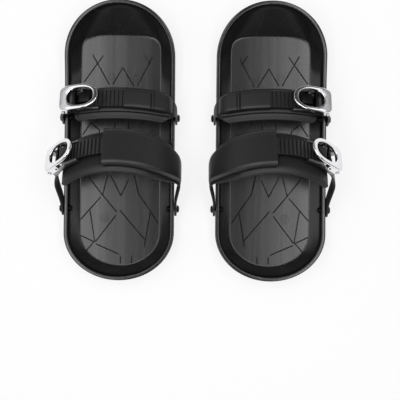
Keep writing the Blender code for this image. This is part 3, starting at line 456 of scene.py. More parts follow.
@dataclass(frozen=True)
class PlatedMetal:
    """Plated or bare metal: polished, or satin where its mark says, with smudges and hairlines. Where its
    shade mark says, the colour is painted near black as shade.
    """

    name: str
    level: float
    roughness: float
    satin_roughness: float
    smudge: float
    scratched: float
    brushed: float = 0.0

    def build(self) -> bpy.types.Material:
        """Makes the material."""
        material, nodes, shader = new_material(self.name, 1.0)
        grain = grouped(nodes, "moulded_grain", pebble_scale=1400.0, stretch=0.08)
        scratches = grouped(nodes, "fine_scratches", scale=90.0, turn=0.9, width=0.006)
        satin = nodes.add("ShaderNodeAttribute", attribute_name="satin").outputs["Fac"]
        shade = nodes.add("ShaderNodeAttribute", attribute_name="shade").outputs["Fac"]
        lightest = grey(min(1.0, self.level * 1.03))
        drifted = nodes.mix(grain.outputs["Mottle"], grey(self.level * 0.97), lightest)
        # Painted shade: where the shade mark is set, the colour is painted near black in place of the shade
        # that falls there
        base = nodes.mix(shade, drifted, grey(0.03))
        marked = nodes.math("MULTIPLY", scratches.outputs["Mask"], self.scratched)
        colour = nodes.mix(marked, base, grey(self.level * 0.7))
        spread = nodes.math("MULTIPLY", satin, self.satin_roughness - self.roughness)
        polished = nodes.math("ADD", spread, self.roughness)
        smudged = nodes.math("MULTIPLY_ADD", grain.outputs["Mottle"], self.smudge, polished)
        rough = nodes.math("MULTIPLY_ADD", scratches.outputs["Mask"], 0.2 * self.scratched, smudged)
        depth = nodes.math("MULTIPLY_ADD", satin, 0.5, self.brushed)
        height = nodes.math("MULTIPLY", grain.outputs["Height"], depth)
        relief = nodes.add("ShaderNodeBump", {"Height": height, "Distance": 0.00003, "Strength": 0.5})
        nodes.fill(shader, {"Base Color": colour, "Roughness": rough, "Normal": relief.outputs["Normal"]})
        return material


FINISHES: tuple[MouldedPlastic | PlatedMetal, ...] = (
    MouldedPlastic(
        "board_plastic", level=0.0085, roughness=0.225, pebble=1500, pebble_depth=0.000004, streak=0.10,
        stretch=0.012, worn=0.4, scratched=0.20, wave=0.00038,
    ),
    MouldedPlastic(
        "strap_plastic", level=0.010, roughness=0.44, pebble=1900, pebble_depth=0.00002, streak=0.08,
        stretch=0.6, worn=0.25,
    ),
    MouldedPlastic(
        "pad_foam", level=0.006, roughness=0.55, pebble=1300, pebble_depth=0.00004, streak=0.08,
        stretch=0.8, worn=0.15,
    ),
    MouldedPlastic(
        "ladder_plastic", level=0.005, roughness=0.46, pebble=1700, pebble_depth=0.00001, streak=0.08,
        stretch=0.4, worn=0.10,
    ),
    PlatedMetal("chrome", level=0.84, roughness=0.055, satin_roughness=0.30, smudge=0.05, scratched=0.25),
    PlatedMetal(
        "buckle_steel", level=0.30, roughness=0.26, satin_roughness=0.35, smudge=0.08, scratched=0.4,
        brushed=0.5,
    ),
    PlatedMetal("spring_steel", level=0.20, roughness=0.25, satin_roughness=0.35, smudge=0.05, scratched=0.1),
    PlatedMetal(
        "black_steel", level=0.022, roughness=0.36, satin_roughness=0.45, smudge=0.10, scratched=0.4,
        brushed=0.6,
    ),
)


def in_scene(name: str, data: bpy.types.ID) -> bpy.types.Object:
    """Makes an object of its data and links it into the scene."""
    obj = bpy.data.objects.new(name, data)
    bpy.context.scene.collection.objects.link(obj)
    return obj


def new_piece(
    mesh: bpy.types.Mesh, body: str, slot: str, replaced: Sequence[str], finish: str = ""
) -> bpy.types.Object:
    """Stands a finished mesh in the scene, on its body and in its slot.

    Args:
        mesh: The mesh, which also gives the piece its name.
        body: The body that it moves with, or nothing to leave it on none.
        slot: The material slot that it takes its finish from.
        replaced: The names of the solids that it stands for.
        finish: The material's name, where it isn't the slot's.

    Returns:
        The new piece.
    """
    piece = in_scene(mesh.name, mesh)
    mesh.materials.clear()
    mesh.materials.append(bpy.data.materials[f"{finish or slot}_finish"])
    if body:
        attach(piece, body)
    if replaced:
        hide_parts(*replaced)
    LOG.info("%s on %s, %d faces", piece.name, body, len(mesh.polygons))
    return piece


def blended(first: Array, corner: Array, last: Array, steps: int) -> Array:
    """Rounds a corner between rows of points.

    The curve is quadratic, (1-u)² first + 2u(1-u) corner + u² last.

    Args:
        first: The row where the rounding starts.
        corner: The row at the sharp corner.
        last: The row where it ends.
        steps: How many spans it has.

    Returns:
        The rows, with first and last among them.
    """
    u = np.linspace(0, 1, steps + 1)[:, None, None]
    return (1 - u) ** 2 * first + 2 * u * (1 - u) * corner + u**2 * last


def shown(obj: bpy.types.Object, tools: Sequence[bpy.types.Object], sharp: float) -> bpy.types.Mesh:
    """The mesh that an object shows with its modifiers. The object and its tools are removed.

    Args:
        obj: The object, whose mesh gives the new one its name.
        tools: The objects that its modifiers work with.
        sharp: The angle in degrees past which an edge stays sharp.

    Returns:
        The new mesh.
    """
    bpy.context.view_layer.update()
    result = bpy.data.meshes.new_from_object(obj.evaluated_get(bpy.context.evaluated_depsgraph_get()))
    name = obj.data.name
    for used in (obj, *tools):
        mesh = used.data
        bpy.data.objects.remove(used, do_unlink=True)
        bpy.data.meshes.remove(mesh)
    result.name = name
    result.shade_smooth()
    result.set_sharp_from_angle(angle=math.radians(sharp))
    return result


def cut_with(
    mesh: bpy.types.Mesh, cutter: bpy.types.Mesh, sharp: float = SHARP, operation: str = "DIFFERENCE"
) -> bpy.types.Mesh:
    """Takes a cutter away from a mesh, or joins it on.

    Args:
        mesh: The mesh to cut.
        cutter: Closed shapes, which may cross each other.
        sharp: The angle in degrees past which an edge stays sharp.
        operation: DIFFERENCE to cut, UNION to join.

    Returns:
        A new mesh with the first one's name.
    """
    holder, tool = in_scene("holder", mesh), in_scene("tool", cutter)
    modifier = holder.modifiers.new("cut", "BOOLEAN")
    modifier.operation = operation
    modifier.solver = "EXACT"
    modifier.use_self = True
    modifier.object = tool
    return shown(holder, [tool], sharp)


def ring_of(radius: Array | float, sides: int) -> Array:
    """Points of a circle about z, of shape (..., sides, 2), for each radius."""
    angle = full_turn(sides)
    return np.asarray(radius)[..., None, None] * np.column_stack([np.cos(angle), np.sin(angle)])


def lathe(profile: Sequence[tuple[float, float]], sides: int = 40) -> Array:
    """A turned shape about z: each (radius, height) point becomes a ring."""
    radius, height = np.array(profile).T
    rings = ring_of(radius, sides)
    return np.concatenate([rings, np.broadcast_to(height[:, None, None], (*rings.shape[:2], 1))], axis=-1)


def rod(radius: float, half_length: float, sides: int = 24) -> Array:
    """A plain cylinder along z, from minus to plus its half length."""
    return lathe([(radius, -half_length), (radius, half_length)], sides)


def pose(place: Sequence[float], turn: float, axis: str) -> Matrix:
    """A turn about an axis, and then a shift to a place."""
    return Matrix.Translation(place) @ Matrix.Rotation(turn, 4, axis)


def moved(points: Array, matrix: Matrix) -> Array:
    """Points through a matrix: the turned part of it, then its shift."""
    whole = np.array(matrix)
    return points @ whole[:3, :3].T + whole[:3, 3]


@dataclass
class Board:
    """One moulded tray: running base, side walls, rim, turned-up tip and a flat floor with cut scores."""

    side: Side
    length: float = 0.391
    width: float = BOARD_WIDTH
    toe_depth: float = 0.0775
    heel_depth: float = 0.067
    rim: tuple[float, float, float] = (0.026, 0.045, 0.030)
    edge: tuple[float, float, float] = (0.011, 0.034, 0.015)
    foot: tuple[float, float, float] = (0.013, 0.039, 0.018)
    floor_height: float = 0.005
    rim_width: float = RIM_WIDTH
    rim_rounding: float = 0.0016
    # How far over the wall's edge and over its foot their roundings begin
    edge_rounding: float = 0.0016
    foot_rounding: float = 0.0024
    floor_insets: tuple[float, float, float] = (0.021, 0.0445, 0.019)
    base_insets: tuple[float, float, float] = (0.015, 0.046, 0.027)
    rise_start: float = 0.075
    underside_curve: float = 2.0
    wall_curve: float = 1.08
    ramp_curve: float = 1.12
    # Shares at which the underside turns up, the wall leaves its foot and the wall meets the floor
    turn_up: float = 0.9
    foot_end: float = 0.14
    floor_start: float = 0.94
    toe_power: float = 0.4
    toe_points: int = 112
    side_points: int = 26
    heel_points: int = 96
    guide: tuple[float, float, float] = (0.008, 0.240, 0.0012)
    score_width: float = 0.0017
    score_depth: float = 0.0006
    score_end: float = 0.0003
    score_over: float = 0.0006
    mark_width: float = 0.00045
    mark_depth: float = 0.0004
    bolt_forwards: tuple[float, float] = (0.033, -0.095)
    # Scores in the floor, as (outward, forward) corners in millimetres from the board's middle
    scores: tuple[tuple[tuple[float, float], ...], ...] = (
        ((41, 124), (17, 82)),
        ((26, 123), (53, 85)),
        ((-18, 80), (-2, 106), (12, 82)),
        ((-44, 121), (-23, 80)),
        ((-33, 124), (-42, 111)),
        ((54, 10), (43, 27), (31, 17), (30, 10)),
        ((8, 27), (9, 17)),
        ((-11, 27), (-11, 17)),
        ((45, -51), (26, -75), (5, -100)),
        ((18, -47), (25, -75)),
        ((28, -79), (43, -96), (56, -111)),
        ((43, -98), (36, -142), (50, -158)),
        ((56, -134), (38, -142.5)),
        ((14, -48), (-1, -77), (-12, -53)),
        ((-20, -48), (-26, -74), (-43, -98), (-54, -115)),
        ((-43, -101), (-35, -149)),
        ((0, -98), (-36, -140)),
        ((6, -105), (35, -143)),
        ((2, -160), (34, -146)),
        ((-1, -163), (-1, -173)),
        ((-17, -163), (-17, -173)),
    )
    # Round ejector marks, as (outward, forward, radius) in millimetres
    marks: tuple[tuple[float, float, float], ...] = (
        (22, -109, 5.6),
        (22, -109, 2.4),
        (14, 93, 4.2),
        (-21, 91, 4.2),
        (18, 174, 4.2),
        (-17, 174, 4.2),
    )
    outline: dict[str, Array] = field(default_factory=dict)

    def __post_init__(self) -> None:
        """Lays out the outline: a half circle at the toe, a half ellipse at the heel and two sides."""
        toe = np.linspace(0, math.pi, self.toe_points + 1)
        heel = np.linspace(math.pi, 2 * math.pi, self.heel_points + 1)
        toe_start = self.length / 2 - self.toe_depth
        heel_start = self.heel_depth - self.length / 2
        down = np.linspace(toe_start, heel_start, self.side_points + 2)[1:-1]
        flat = np.zeros(len(down))
        self.outline = {
            "across": np.concatenate([np.cos(toe), flat - 1, np.cos(heel), flat + 1]),
            "start": np.concatenate([toe_start + 0 * toe, down, heel_start + 0 * heel, down[::-1]]),
            "toe": np.concatenate([np.sin(toe), flat, 0 * heel, flat]),
            "heel": np.concatenate([0 * toe, flat, -np.sin(heel), flat]),
        }

    def ring(self, insets: Array, heights: Array, toe_power: float = 1.0) -> Array:
        """One ring of the tray.

        The outline is drawn in by its own inset at the sides, the toe and the heel. A toe power under 1
        squares the toe end, |cos|^power across and sin^power forward.

        Args:
            insets: How far in it lies at the sides, the toe and the heel.
            heights: The height of each of its points.
            toe_power: The power at the toe end.

        Returns:
            Points of shape (points, 3).
        """
        line = self.outline
        toe_end = line["toe"] > 0
        squared = np.sign(line["across"]) * np.abs(line["across"]) ** toe_power
        across = np.where(toe_end, squared, line["across"])
        reach = np.clip(line["toe"], 0, None) ** toe_power
        x = across * (self.width / 2 - insets[0])
        toe, heel = self.toe_depth - insets[1], self.heel_depth - insets[2]
        y = line["start"] + reach * toe - line["heel"] * heel
        return np.column_stack([x, y, np.broadcast_to(heights, x.shape)])

    def heights(self, values: tuple[float, float, float]) -> Array:
        """Heights round the outline: the side value, rising in an S curve to the toe's and the heel's."""
        line = self.outline
        along = line["start"] + line["toe"] * self.toe_depth - line["heel"] * self.heel_depth
        run = self.length / 2 - self.rise_start
        to_toe = smooth((along - self.rise_start) / run)
        to_heel = smooth((-along - self.rise_start) / run)
        return values[0] + (values[1] - values[0]) * to_toe + (values[2] - values[0]) * to_heel

    def under(self, share: float) -> Array:
        """A ring of the underside, from the flat base at share 0 to the wall's edge at 1."""
        insets = np.array(self.base_insets) * (1 - share)
        return self.ring(insets, self.heights(self.edge) * share**self.underside_curve)

    def bed(self, share: float) -> Array:
        """A ring of the inside, from the wall's foot at share 0 to the floor's edge at 1."""
        floor = np.array(self.floor_insets)
        insets = self.rim_width + (floor - self.rim_width) * share
        curve = self.wall_curve + (self.ramp_curve - self.wall_curve) * smooth(self.outline["toe"] * 1.4)
        rise = (self.heights(self.foot) - self.floor_height) * (1 - min(share, 1)) ** curve
        return self.ring(insets, self.floor_height + rise, 1 + (self.toe_power - 1) * min(share, 1))

    def rows(self) -> Array:
        """All rings, from the flat base out, up over the rim, and down to the floor."""
        edge, rim, foot = self.heights(self.edge), self.heights(self.rim), self.heights(self.foot)
        none, full, soft = np.zeros(3), np.full(3, self.rim_width), self.rim_rounding
        under = [self.under(share) for share in np.linspace(0, self.turn_up, 13)]
        edge_top = self.ring(none, edge + self.edge_rounding)
        turn_up = blended(self.under(self.turn_up), self.under(1.0), edge_top, 5)[1:]
        outer = blended(self.ring(none, rim - soft), self.ring(none, rim), self.ring(none + soft, rim), 5)
        inner_top = self.ring(full - soft, rim)
        inner = blended(inner_top, self.ring(full, rim), self.ring(full, rim - soft), 5)
        foot_start = self.ring(full, foot + self.foot_rounding)
        foot_round = blended(foot_start, self.bed(0), self.bed(self.foot_end), 6)
        slope = [self.bed(share) for share in np.linspace(self.foot_end, self.floor_start, 22)[1:]]
        floor_round = blended(self.bed(self.floor_start), self.bed(1.0), self.bed(1.05), 6)[1:]
        floor_rim = self.bed(1.09)[None]
        parts = [np.array(under), turn_up, outer, inner, foot_round, np.array(slope), floor_round, floor_rim]
        return np.concatenate(parts)

    def ramp_place(self, x: float, y: float) -> Matrix:
        """A place on the floor or the tip's ramp, with z square to the surface there."""
        start = self.length / 2 - self.floor_insets[1]
        run = self.floor_insets[1] - self.rim_width
        share = max(0.0, (y - start) / run)
        rise = self.foot[1] - self.floor_height
        height = self.floor_height + rise * share**self.ramp_curve
        slope = rise * self.ramp_curve / run * share ** (self.ramp_curve - 1) if share else 0.0
        return pose((x, y, height), math.atan(slope), "X")

    def cutter(self) -> bpy.types.Mesh:
        """The scores, the round marks, the guide groove and the bolt holes, as closed shapes."""
        skin = Skin()
        for corners in self.scores:
            spots = np.array(corners, dtype=float) / 1000
            for start, end in zip(spots, spots[1:]):
                skin.grid(self.side.place(self.score(start, end)))
        angle, section = full_turn(36)[:, None], full_turn(6)
        low = self.mark_depth * np.sin(section) + 0 * angle
        for x, y, radius in self.marks:
            out = radius / 1000 + self.mark_width * np.cos(section)
            rows = np.stack([out * np.cos(angle), out * np.sin(angle), low], axis=-1)
            place = self.ramp_place(x / 1000, y / 1000)
            skin.grid(self.side.place(moved(rows, place)), ring_closed=True)
        wide, long, deep = self.guide
        sides, taper = 24, 0.12
        ends = ring_of(wide / 2, sides)
        ends[:, 1] += np.where(np.sin(full_turn(sides)) >= 0, 1, -1) * (long - wide) / 2
        levels = [(ends * (1 - taper * (z > 0)), np.full(sides, z)) for z in (-deep, 0, deep)]
        skin.grid(self.side.place(np.stack([np.column_stack(level) for level in levels])))
        for y in self.bolt_forwards:
            for outward in (-1, 1):
                place = pose((outward * (self.width - self.rim_width) / 2, y, BOLT_HEIGHT), math.pi / 2, "Y")
                skin.grid(self.side.place(moved(rod(BOLT_HOLE, self.rim_width), place)))
        return skin.mesh("board_cutter")

    def score(self, start: Array, end: Array) -> Array:
        """A V-shaped cutter along one straight score.

        Each station is a triangle, widest above the floor and pointed below it. Both ends run out shallow.
        """
        run = end - start
        ahead = run / np.linalg.norm(run)
        aside = np.array([-ahead[1], ahead[0]])
        over, run_out = self.score_over, 0.45
        rows = []
        before, after = start - self.score_end * ahead, end + self.score_end * ahead
        for spot, size in ((before, run_out), (start, 1), (end, 1), (after, run_out)):
            deep = self.score_depth * size
            half = self.score_width / 2 * size * (1 + over / deep)
            left, right = spot + aside * half, spot - aside * half
            top, low = self.floor_height + over, self.floor_height - deep
            rows.append([[*left, top], [*right, top], [*spot, low]])
        return np.array(rows)

    def build(self) -> bpy.types.Object:
        """Makes the tray and cuts it."""
        tray = grid_mesh(f"{self.side.word}_tray", self.side.place(self.rows()))
        mesh = cut_with(tray, self.cutter(), 30.0)
        return new_piece(mesh, f"{self.side.word}_board", "board_plastic", [f"{self.side.word}_deck"])


@dataclass(frozen=True)
class StrapSizes:
    """One strap loop's sizes. Pairs give the heel side first and then the toe side."""

    word: str
    bolt_forward: float
    crown_forward: float
    crown_height: float
    crown_lean: float
    crown_radius: float
    half_angle: float
    buckle_angle: float
    ladder_width: float
    pad_sides: tuple[float, float]
    pad_thickness: float
    cover_sides: tuple[float, float]
    cover_edge: float
    bulge: float
    narrow_from: float
    narrowed_at_leg: float
    # Ridges along the pad and beads along the cover, as (place across, half width, height)
    pad_ridges: tuple[tuple[float, float, float], ...]
    cover_beads: tuple[tuple[float, float, float], ...]
    # Grooves across the cover, as (place outward, half width, depth)
    cover_grooves: tuple[tuple[float, float, float], ...] = ()


TOE_LEFT = StrapSizes(
    word="toe",
    bolt_forward=0.033,
    crown_forward=0.054,
    crown_height=0.077,
    crown_lean=math.radians(20),
    crown_radius=0.150,
    half_angle=math.radians(24),
    buckle_angle=math.radians(18.3),
    ladder_width=0.024,
    pad_sides=(0.0260, 0.0205),
    pad_thickness=0.006,
    cover_sides=(0.0132, 0.0132),
    cover_edge=-0.0106,
    bulge=0.018,
    narrow_from=math.radians(20),
    narrowed_at_leg=0.0,
    pad_ridges=(
        (-0.0150, 0.0016, -0.0012),
        (-0.0186, 0.0030, 0.0016),
        (0.0152, 0.0014, -0.0008),
        (0.0178, 0.0022, 0.0008),
    ),
    cover_beads=(),
    cover_grooves=((-0.0452, 0.0011, 0.0016), (-0.0490, 0.0009, 0.0013)),
)
TOE_RIGHT = replace(TOE_LEFT, cover_edge=-0.0062)
INSTEP_LEFT = StrapSizes(
    word="instep",
    bolt_forward=-0.095,
    crown_forward=-0.0105,
    crown_height=0.105,
    crown_lean=math.radians(32.5),
    crown_radius=0.092,
    half_angle=math.radians(60),
    buckle_angle=math.radians(47),
    ladder_width=0.026,
    pad_sides=(0.0365, 0.0275),
    pad_thickness=0.008,
    cover_sides=(0.0300, 0.0260),
    cover_edge=0.0150,
    bulge=0.027,
    narrow_from=math.radians(28),
    narrowed_at_leg=0.45,
    pad_ridges=((-0.0322, 0.0017, 0.0017), (-0.0296, 0.0012, -0.0010), (0.0268, 0.0010, 0.0010)),
    cover_beads=((-0.0268, 0.0012, 0.0007), (0.0222, 0.0010, 0.0006), (0.0192, 0.0009, -0.0006)),
)
INSTEP_RIGHT = replace(INSTEP_LEFT, cover_edge=0.0011, buckle_angle=math.radians(42.0))
STRAPS = {Side.LEFT: (TOE_LEFT, INSTEP_LEFT), Side.RIGHT: (TOE_RIGHT, INSTEP_RIGHT)}


class StrapPath:
    """The centre line of one strap loop, in the board's frame.

    A path is an array whose rows hold a point, a tangent and a lean. The crown is an arc that leans towards
    the toe, and each leg is a cubic Bezier curve from the arc's end down to a straight tab at the bolt.
    """

    def __init__(self, strap: StrapSizes) -> None:
        """Finds the arc's centre below the crown, and the middle of the outer tab."""
        self.strap = strap
        lean = Matrix.Rotation(-strap.crown_lean, 4, "X")
        crown = Vector((0, strap.crown_forward, strap.crown_height))
        centre = crown - lean.to_3x3() @ Vector((0, 0, strap.crown_radius))
        self.crown_matrix = Matrix.Translation(centre) @ lean
        self.bolt = np.array([BOARD_WIDTH / 2 + GAP + TAB_THICKNESS / 2, strap.bolt_forward, BOLT_HEIGHT])
        end = self.arc(np.array([strap.half_angle]))[0]
        self.leg_lean = math.atan2(end[1] - self.bolt[1], end[2] - self.bolt[2])
        self.up = np.array([0, math.sin(self.leg_lean), math.cos(self.leg_lean)])

    def arc(self, angles: Array) -> Array:
        """The crown's rows at these angles: the point R(sin a, 0, cos a), turned and shifted."""
        radius, none = self.strap.crown_radius, 0 * angles
        circle = np.column_stack([radius * np.sin(angles), none, radius * np.cos(angles)])
        points = moved(circle, self.crown_matrix)
        flat = np.column_stack([np.cos(angles), none, -np.sin(angles)])
        tangents = flat @ np.array(self.crown_matrix)[:3, :3].T
        return np.column_stack([points, tangents, none + self.strap.crown_lean])

    def leg(self, shares: Array) -> Array:
        """The outer leg's rows: a cubic Bezier curve at shares from 0 at the crown to 1 above the tab."""
        strap, first = self.strap, self.arc(np.array([self.strap.half_angle]))[0]
        end = self.bolt + self.up * LEG_RUN
        handles = (first[:3], first[:3] + first[3:6] * strap.bulge, end + self.up * strap.bulge * 0.6, end)
        t = np.asarray(shares)[:, None]
        points = sum(math.comb(3, i) * t**i * (1 - t) ** (3 - i) * handles[i] for i in range(4))
        steps = [after - before for before, after in zip(handles, handles[1:])]
        slope = sum(math.comb(2, i) * t**i * (1 - t) ** (2 - i) * steps[i] for i in range(3))
        slope = slope / np.linalg.norm(slope, axis=1, keepdims=True)
        lean = strap.crown_lean + (self.leg_lean - strap.crown_lean) * smooth(np.asarray(shares))
        return np.column_stack([points, slope, lean])

    def tab(self, drops: Array) -> Array:
        """The outer tab's rows, straight down past the bolt by these drops."""
        drops = np.asarray(drops)
        points = self.bolt - self.up * drops[:, None]
        down = np.broadcast_to(-self.up, points.shape)
        return np.column_stack([points, down, np.full(len(drops), self.leg_lean)])

    def inner(self, rows: Array) -> Array:
        """Rows of the outer side taken to the board's inner side, running up instead of down."""
        return rows[::-1] * np.array([-1, 1, 1, 1, -1, -1, 1])

    def sweep(self, rows: Array, across: Array, out: Array) -> Array:
        """Carries sections along a path.

        A section's point stands at point + across·w + out·n, where across leans with the strap and out is
        the tangent crossed with it.

        Args:
            rows: The path's rows.
            across: The sections' w values, of shape (rows, points).
            out: The sections' n values, of the same shape.

        Returns:
            Points of shape (rows, points, 3).
        """
        lean = rows[:, 6]
        wide = np.column_stack([0 * lean, np.cos(lean), -np.sin(lean)])
        normal = np.cross(rows[:, 3:6], wide)
        normal /= np.linalg.norm(normal, axis=1, keepdims=True)
        return rows[:, None, :3] + wide[:, None] * across[..., None] + normal[:, None] * out[..., None]

    @property
    def buckle(self) -> Matrix:
        """The buckle's frame: x outward along the strap, y across it, z up from the ladder's underside."""
        turn = Matrix.Rotation(self.strap.buckle_angle, 4, "Y")
        return self.crown_matrix @ turn @ Matrix.Translation((0, 0, self.strap.crown_radius))


def pillow(sizes: Array, power: float, half: int = 34) -> tuple[Array, Array]:
    """Closed sections that are flat in the middle and rounded at both sides.

    Across a section, v runs from -1 to 1 and the half thickness is (1 - |v|^p)^(1/p) of its full value.

    Args:
        sizes: Rows of heel side, toe side, underside and face.
        power: The p of the formula. A larger one gives squarer sides.
        half: How many spans there are along each face.

    Returns:
        The w and n values, of shape (rows, 2 * half).
    """
    v = -np.cos(np.linspace(0, math.pi, half + 1))
    full = (1 - np.abs(v) ** power) ** (1 / power)
    v = np.concatenate([v, v[-2:0:-1]])
    share = np.concatenate([full, -full[-2:0:-1]])
    heel, toe, under, face = (sizes[:, i : i + 1] for i in range(4))
    across = (toe - heel) / 2 + (toe + heel) / 2 * v
    out = (face + under) / 2 + (face - under) / 2 * share
    return across, out


TAB = np.array([TAB_HALF_WIDTH, TAB_HALF_WIDTH, -TAB_THICKNESS / 2, TAB_THICKNESS / 2])


def leg_sizes(
    top: Sequence[float], shares: Array, narrowing: float, begun: float = 0.0, tab: Array = TAB
) -> Array:
    """Section sizes down a leg: widths and depths run from the crown's to the tab's on S curves.

    Args:
        top: The sizes at the crown's end.
        shares: How far down the leg each section is.
        narrowing: How much sooner the widths get there.
        begun: The widths' share at the leg's start, where they begin to narrow above it.
        tab: The sizes at the leg's foot.

    Returns:
        Rows of heel side, toe side, underside and face.
    """
    wide = smooth(begun + (1 - begun) * np.clip(shares * narrowing, 0, 1))
    deep = smooth(shares * 2.2)
    return np.array(top) + (tab - np.array(top)) * np.column_stack([wide, wide, deep, deep])


def arc_sizes(strap: StrapSizes, top: Sequence[float], angles: Array, tab: Array = TAB) -> Array:
    """Section sizes along the crown, whose widths begin to narrow towards the inner leg."""
    past = np.clip((-angles - strap.narrow_from) / (strap.half_angle - strap.narrow_from), 0, 1)
    wide = smooth(strap.narrowed_at_leg * past)
    return np.array(top) + (tab - np.array(top)) * np.column_stack([wide, wide, 0 * wide, 0 * wide])


def tab_sizes(drops: Array) -> Array:
    """Section sizes of a tab whose end is rounded, W·sqrt(1 - (d/L)²)."""
    half = TAB_HALF_WIDTH * np.sqrt(1 - np.clip(np.asarray(drops) / (1.06 * TAB_LENGTH), 0, 0.999) ** 2)
    flat = np.full(len(half), TAB_THICKNESS / 2)
    return np.column_stack([half, half, -flat, flat])


@dataclass
class LoopPiece:
    """What the pieces of one strap loop on one board share: the loop's path and the start of their names."""

    side: Side
    strap: StrapSizes

    def __post_init__(self) -> None:
        """Lays out the strap's path and its names."""
        self.path = StrapPath(self.strap)
        self.prefix = f"{self.side.word}_{self.strap.word}"

    def swept(self, word: str, rows: Array, sections: tuple[Array, Array]) -> bpy.types.Mesh:
        """A mesh of sections, as their w and n values, carried along rows of the path."""
        return grid_mesh(f"{self.prefix}_{word}", self.side.place(self.path.sweep(rows, *sections)))

    def bored(self, mesh: bpy.types.Mesh, outward: int) -> bpy.types.Mesh:
        """Bores the bolt's hole through a tab, the inner one for -1 and the outer one for 1."""
        across, forward, height = self.path.bolt
        place = pose((outward * across, forward, height), math.pi / 2, "Y")
        bore = moved(rod(BOLT_HOLE, TAB_THICKNESS, 28), place)
        return cut_with(mesh, grid_mesh("bore", self.side.place(bore)))


@dataclass
class PaddedStrap(LoopPiece):
    """The padded strap of one loop: a moulded foam pad with its ridges, and the cover over the ladder."""

    crown_steps: int = 120
    leg_steps: int = 34
    pad_power: float = 5.0
    cover_power: float = 7.0
    pocket_teeth: int = 9
    # How much sooner the widths reach the tab's down the inner leg
    narrowing: float = 1.5
    # How long the pad's outer end is, with its least width and depth as shares of the whole
    end_run: float = 0.012
    end_width: float = 0.62
    end_depth: float = 0.35

    def pad(self) -> bpy.types.Object:
        """Makes the pad: crowned underneath, ridged on its face, and drawn in to the tab on the inner leg."""
        strap, path = self.strap, self.path
        shares = np.linspace(0, 1, self.leg_steps + 1)[1:]
        angles = np.linspace(-strap.half_angle, strap.half_angle, self.crown_steps + 1)
        inner = path.inner(np.concatenate([path.leg(shares), path.tab(TAB_DROPS)]))
        rows = np.concatenate([inner, path.arc(angles)])
        top = [*strap.pad_sides, PAD_FACE - strap.pad_thickness, PAD_FACE]
        leg = leg_sizes(top, shares, self.narrowing, strap.narrowed_at_leg)
        to_end = (strap.half_angle - angles) * strap.crown_radius
        drawn = np.sqrt(1 - (1 - np.clip(to_end / self.end_run, 0, 1)) ** 2)
        crown = arc_sizes(strap, top, angles)
        crown[:, :2] *= (self.end_width + (1 - self.end_width) * drawn)[:, None]
        middle = PAD_FACE - strap.pad_thickness / 2
        depth = self.end_depth + (1 - self.end_depth) * drawn
        crown[:, 2:] = middle + (crown[:, 2:] - middle) * depth[:, None]
        across, out = pillow(np.concatenate([tab_sizes(TAB_DROPS)[::-1], leg[::-1], crown]), self.pad_power)
        half = across.shape[1] // 2
        fades = [np.zeros(len(TAB_DROPS)), smooth(1 - 1.6 * shares[::-1]), np.minimum(1, drawn)]
        fade = np.concatenate(fades)[:, None]
        for place, width, height in strap.pad_ridges:
            out[:, : half + 1] += fade * height * bump(across[:, : half + 1] - place, width)
        spread = across[:, half + 1 :] / np.max(np.abs(across), axis=1, keepdims=True)
        out[:, half + 1 :] += fade * 0.16 * strap.pad_thickness * spread**2
        mesh = self.bored(self.swept("pad", rows, (across, out)), -1)
        body, solid = f"{self.prefix}_pad", f"{self.prefix}_pad_strap"
        piece = new_piece(mesh, body, "strap_plastic", [solid], "pad_foam")
        return piece

    def cover(self) -> bpy.types.Object:
        """Makes the cover: a smooth sleeve with beads along its edges, open where the ladder enters."""
        strap, path, radius = self.strap, self.path, self.strap.crown_radius
        edge = math.asin(strap.cover_edge / radius)
        shares = np.linspace(0, 0.86, self.leg_steps + 1)[1:]
        steps = max(40, round((edge + strap.half_angle) * radius / 0.0006))
        angles = np.linspace(-strap.half_angle, edge, steps + 1)
        lips = edge - np.array([0.0004, 0.0001, 0.0, 0.0, 0.0004]) / radius
        pocket_end = edge - self.pocket_teeth * LADDER_PITCH / radius
        pocket = np.linspace(edge - 0.001 / radius, pocket_end, 12)
        angles = angles[angles < lips[0]]
        crown = path.arc(np.concatenate([angles, lips, pocket]))
        rows = np.concatenate([path.inner(path.leg(shares)), crown])
        top = np.array([*strap.cover_sides, PAD_FACE - 0.001, COVER_TOP])
        foot = TAB * [0.9, 0.9, 0.5, 0.5]
        leg = leg_sizes(top, shares, self.narrowing, strap.narrowed_at_leg, foot)[::-1]
        inset = np.array([0.0, 0.0002, 0.0006, 0.0012])[:, None] * np.array([-1, -1, 1, -1])
        half_width, gap = strap.ladder_width / 2 + 0.0003, RUNNING_GAP - 0.0001
        inside = len(lips) + len(pocket) - len(inset)
        hole = np.tile([half_width, half_width, -gap, LADDER_CREST + gap], (inside, 1))
        sizes = [leg, arc_sizes(strap, top, angles, foot), top + inset, hole]
        across, out = pillow(np.concatenate(sizes), self.cover_power, 60)
        half = across.shape[1] // 2
        outside = np.ones(len(angles) + len(inset))
        fade = np.concatenate([smooth(1 - 2.0 * shares[::-1]), outside, np.zeros(inside)])[:, None]
        face = out[:, : half + 1]
        for place, width, height in strap.cover_beads:
            face += fade * height * bump(across[:, : half + 1] - place, width)
        for place, width, depth in strap.cover_grooves:
            face -= fade * depth * bump(rows[:, :1] - place, width)
        mesh = self.swept("cover", rows, (across, out))
        return new_piece(mesh, f"{self.prefix}_pad", "strap_plastic", [f"{self.prefix}_pad_strap"])

    def build(self) -> None:
        """Makes the pad and then the cover."""
        self.pad()
        self.cover()


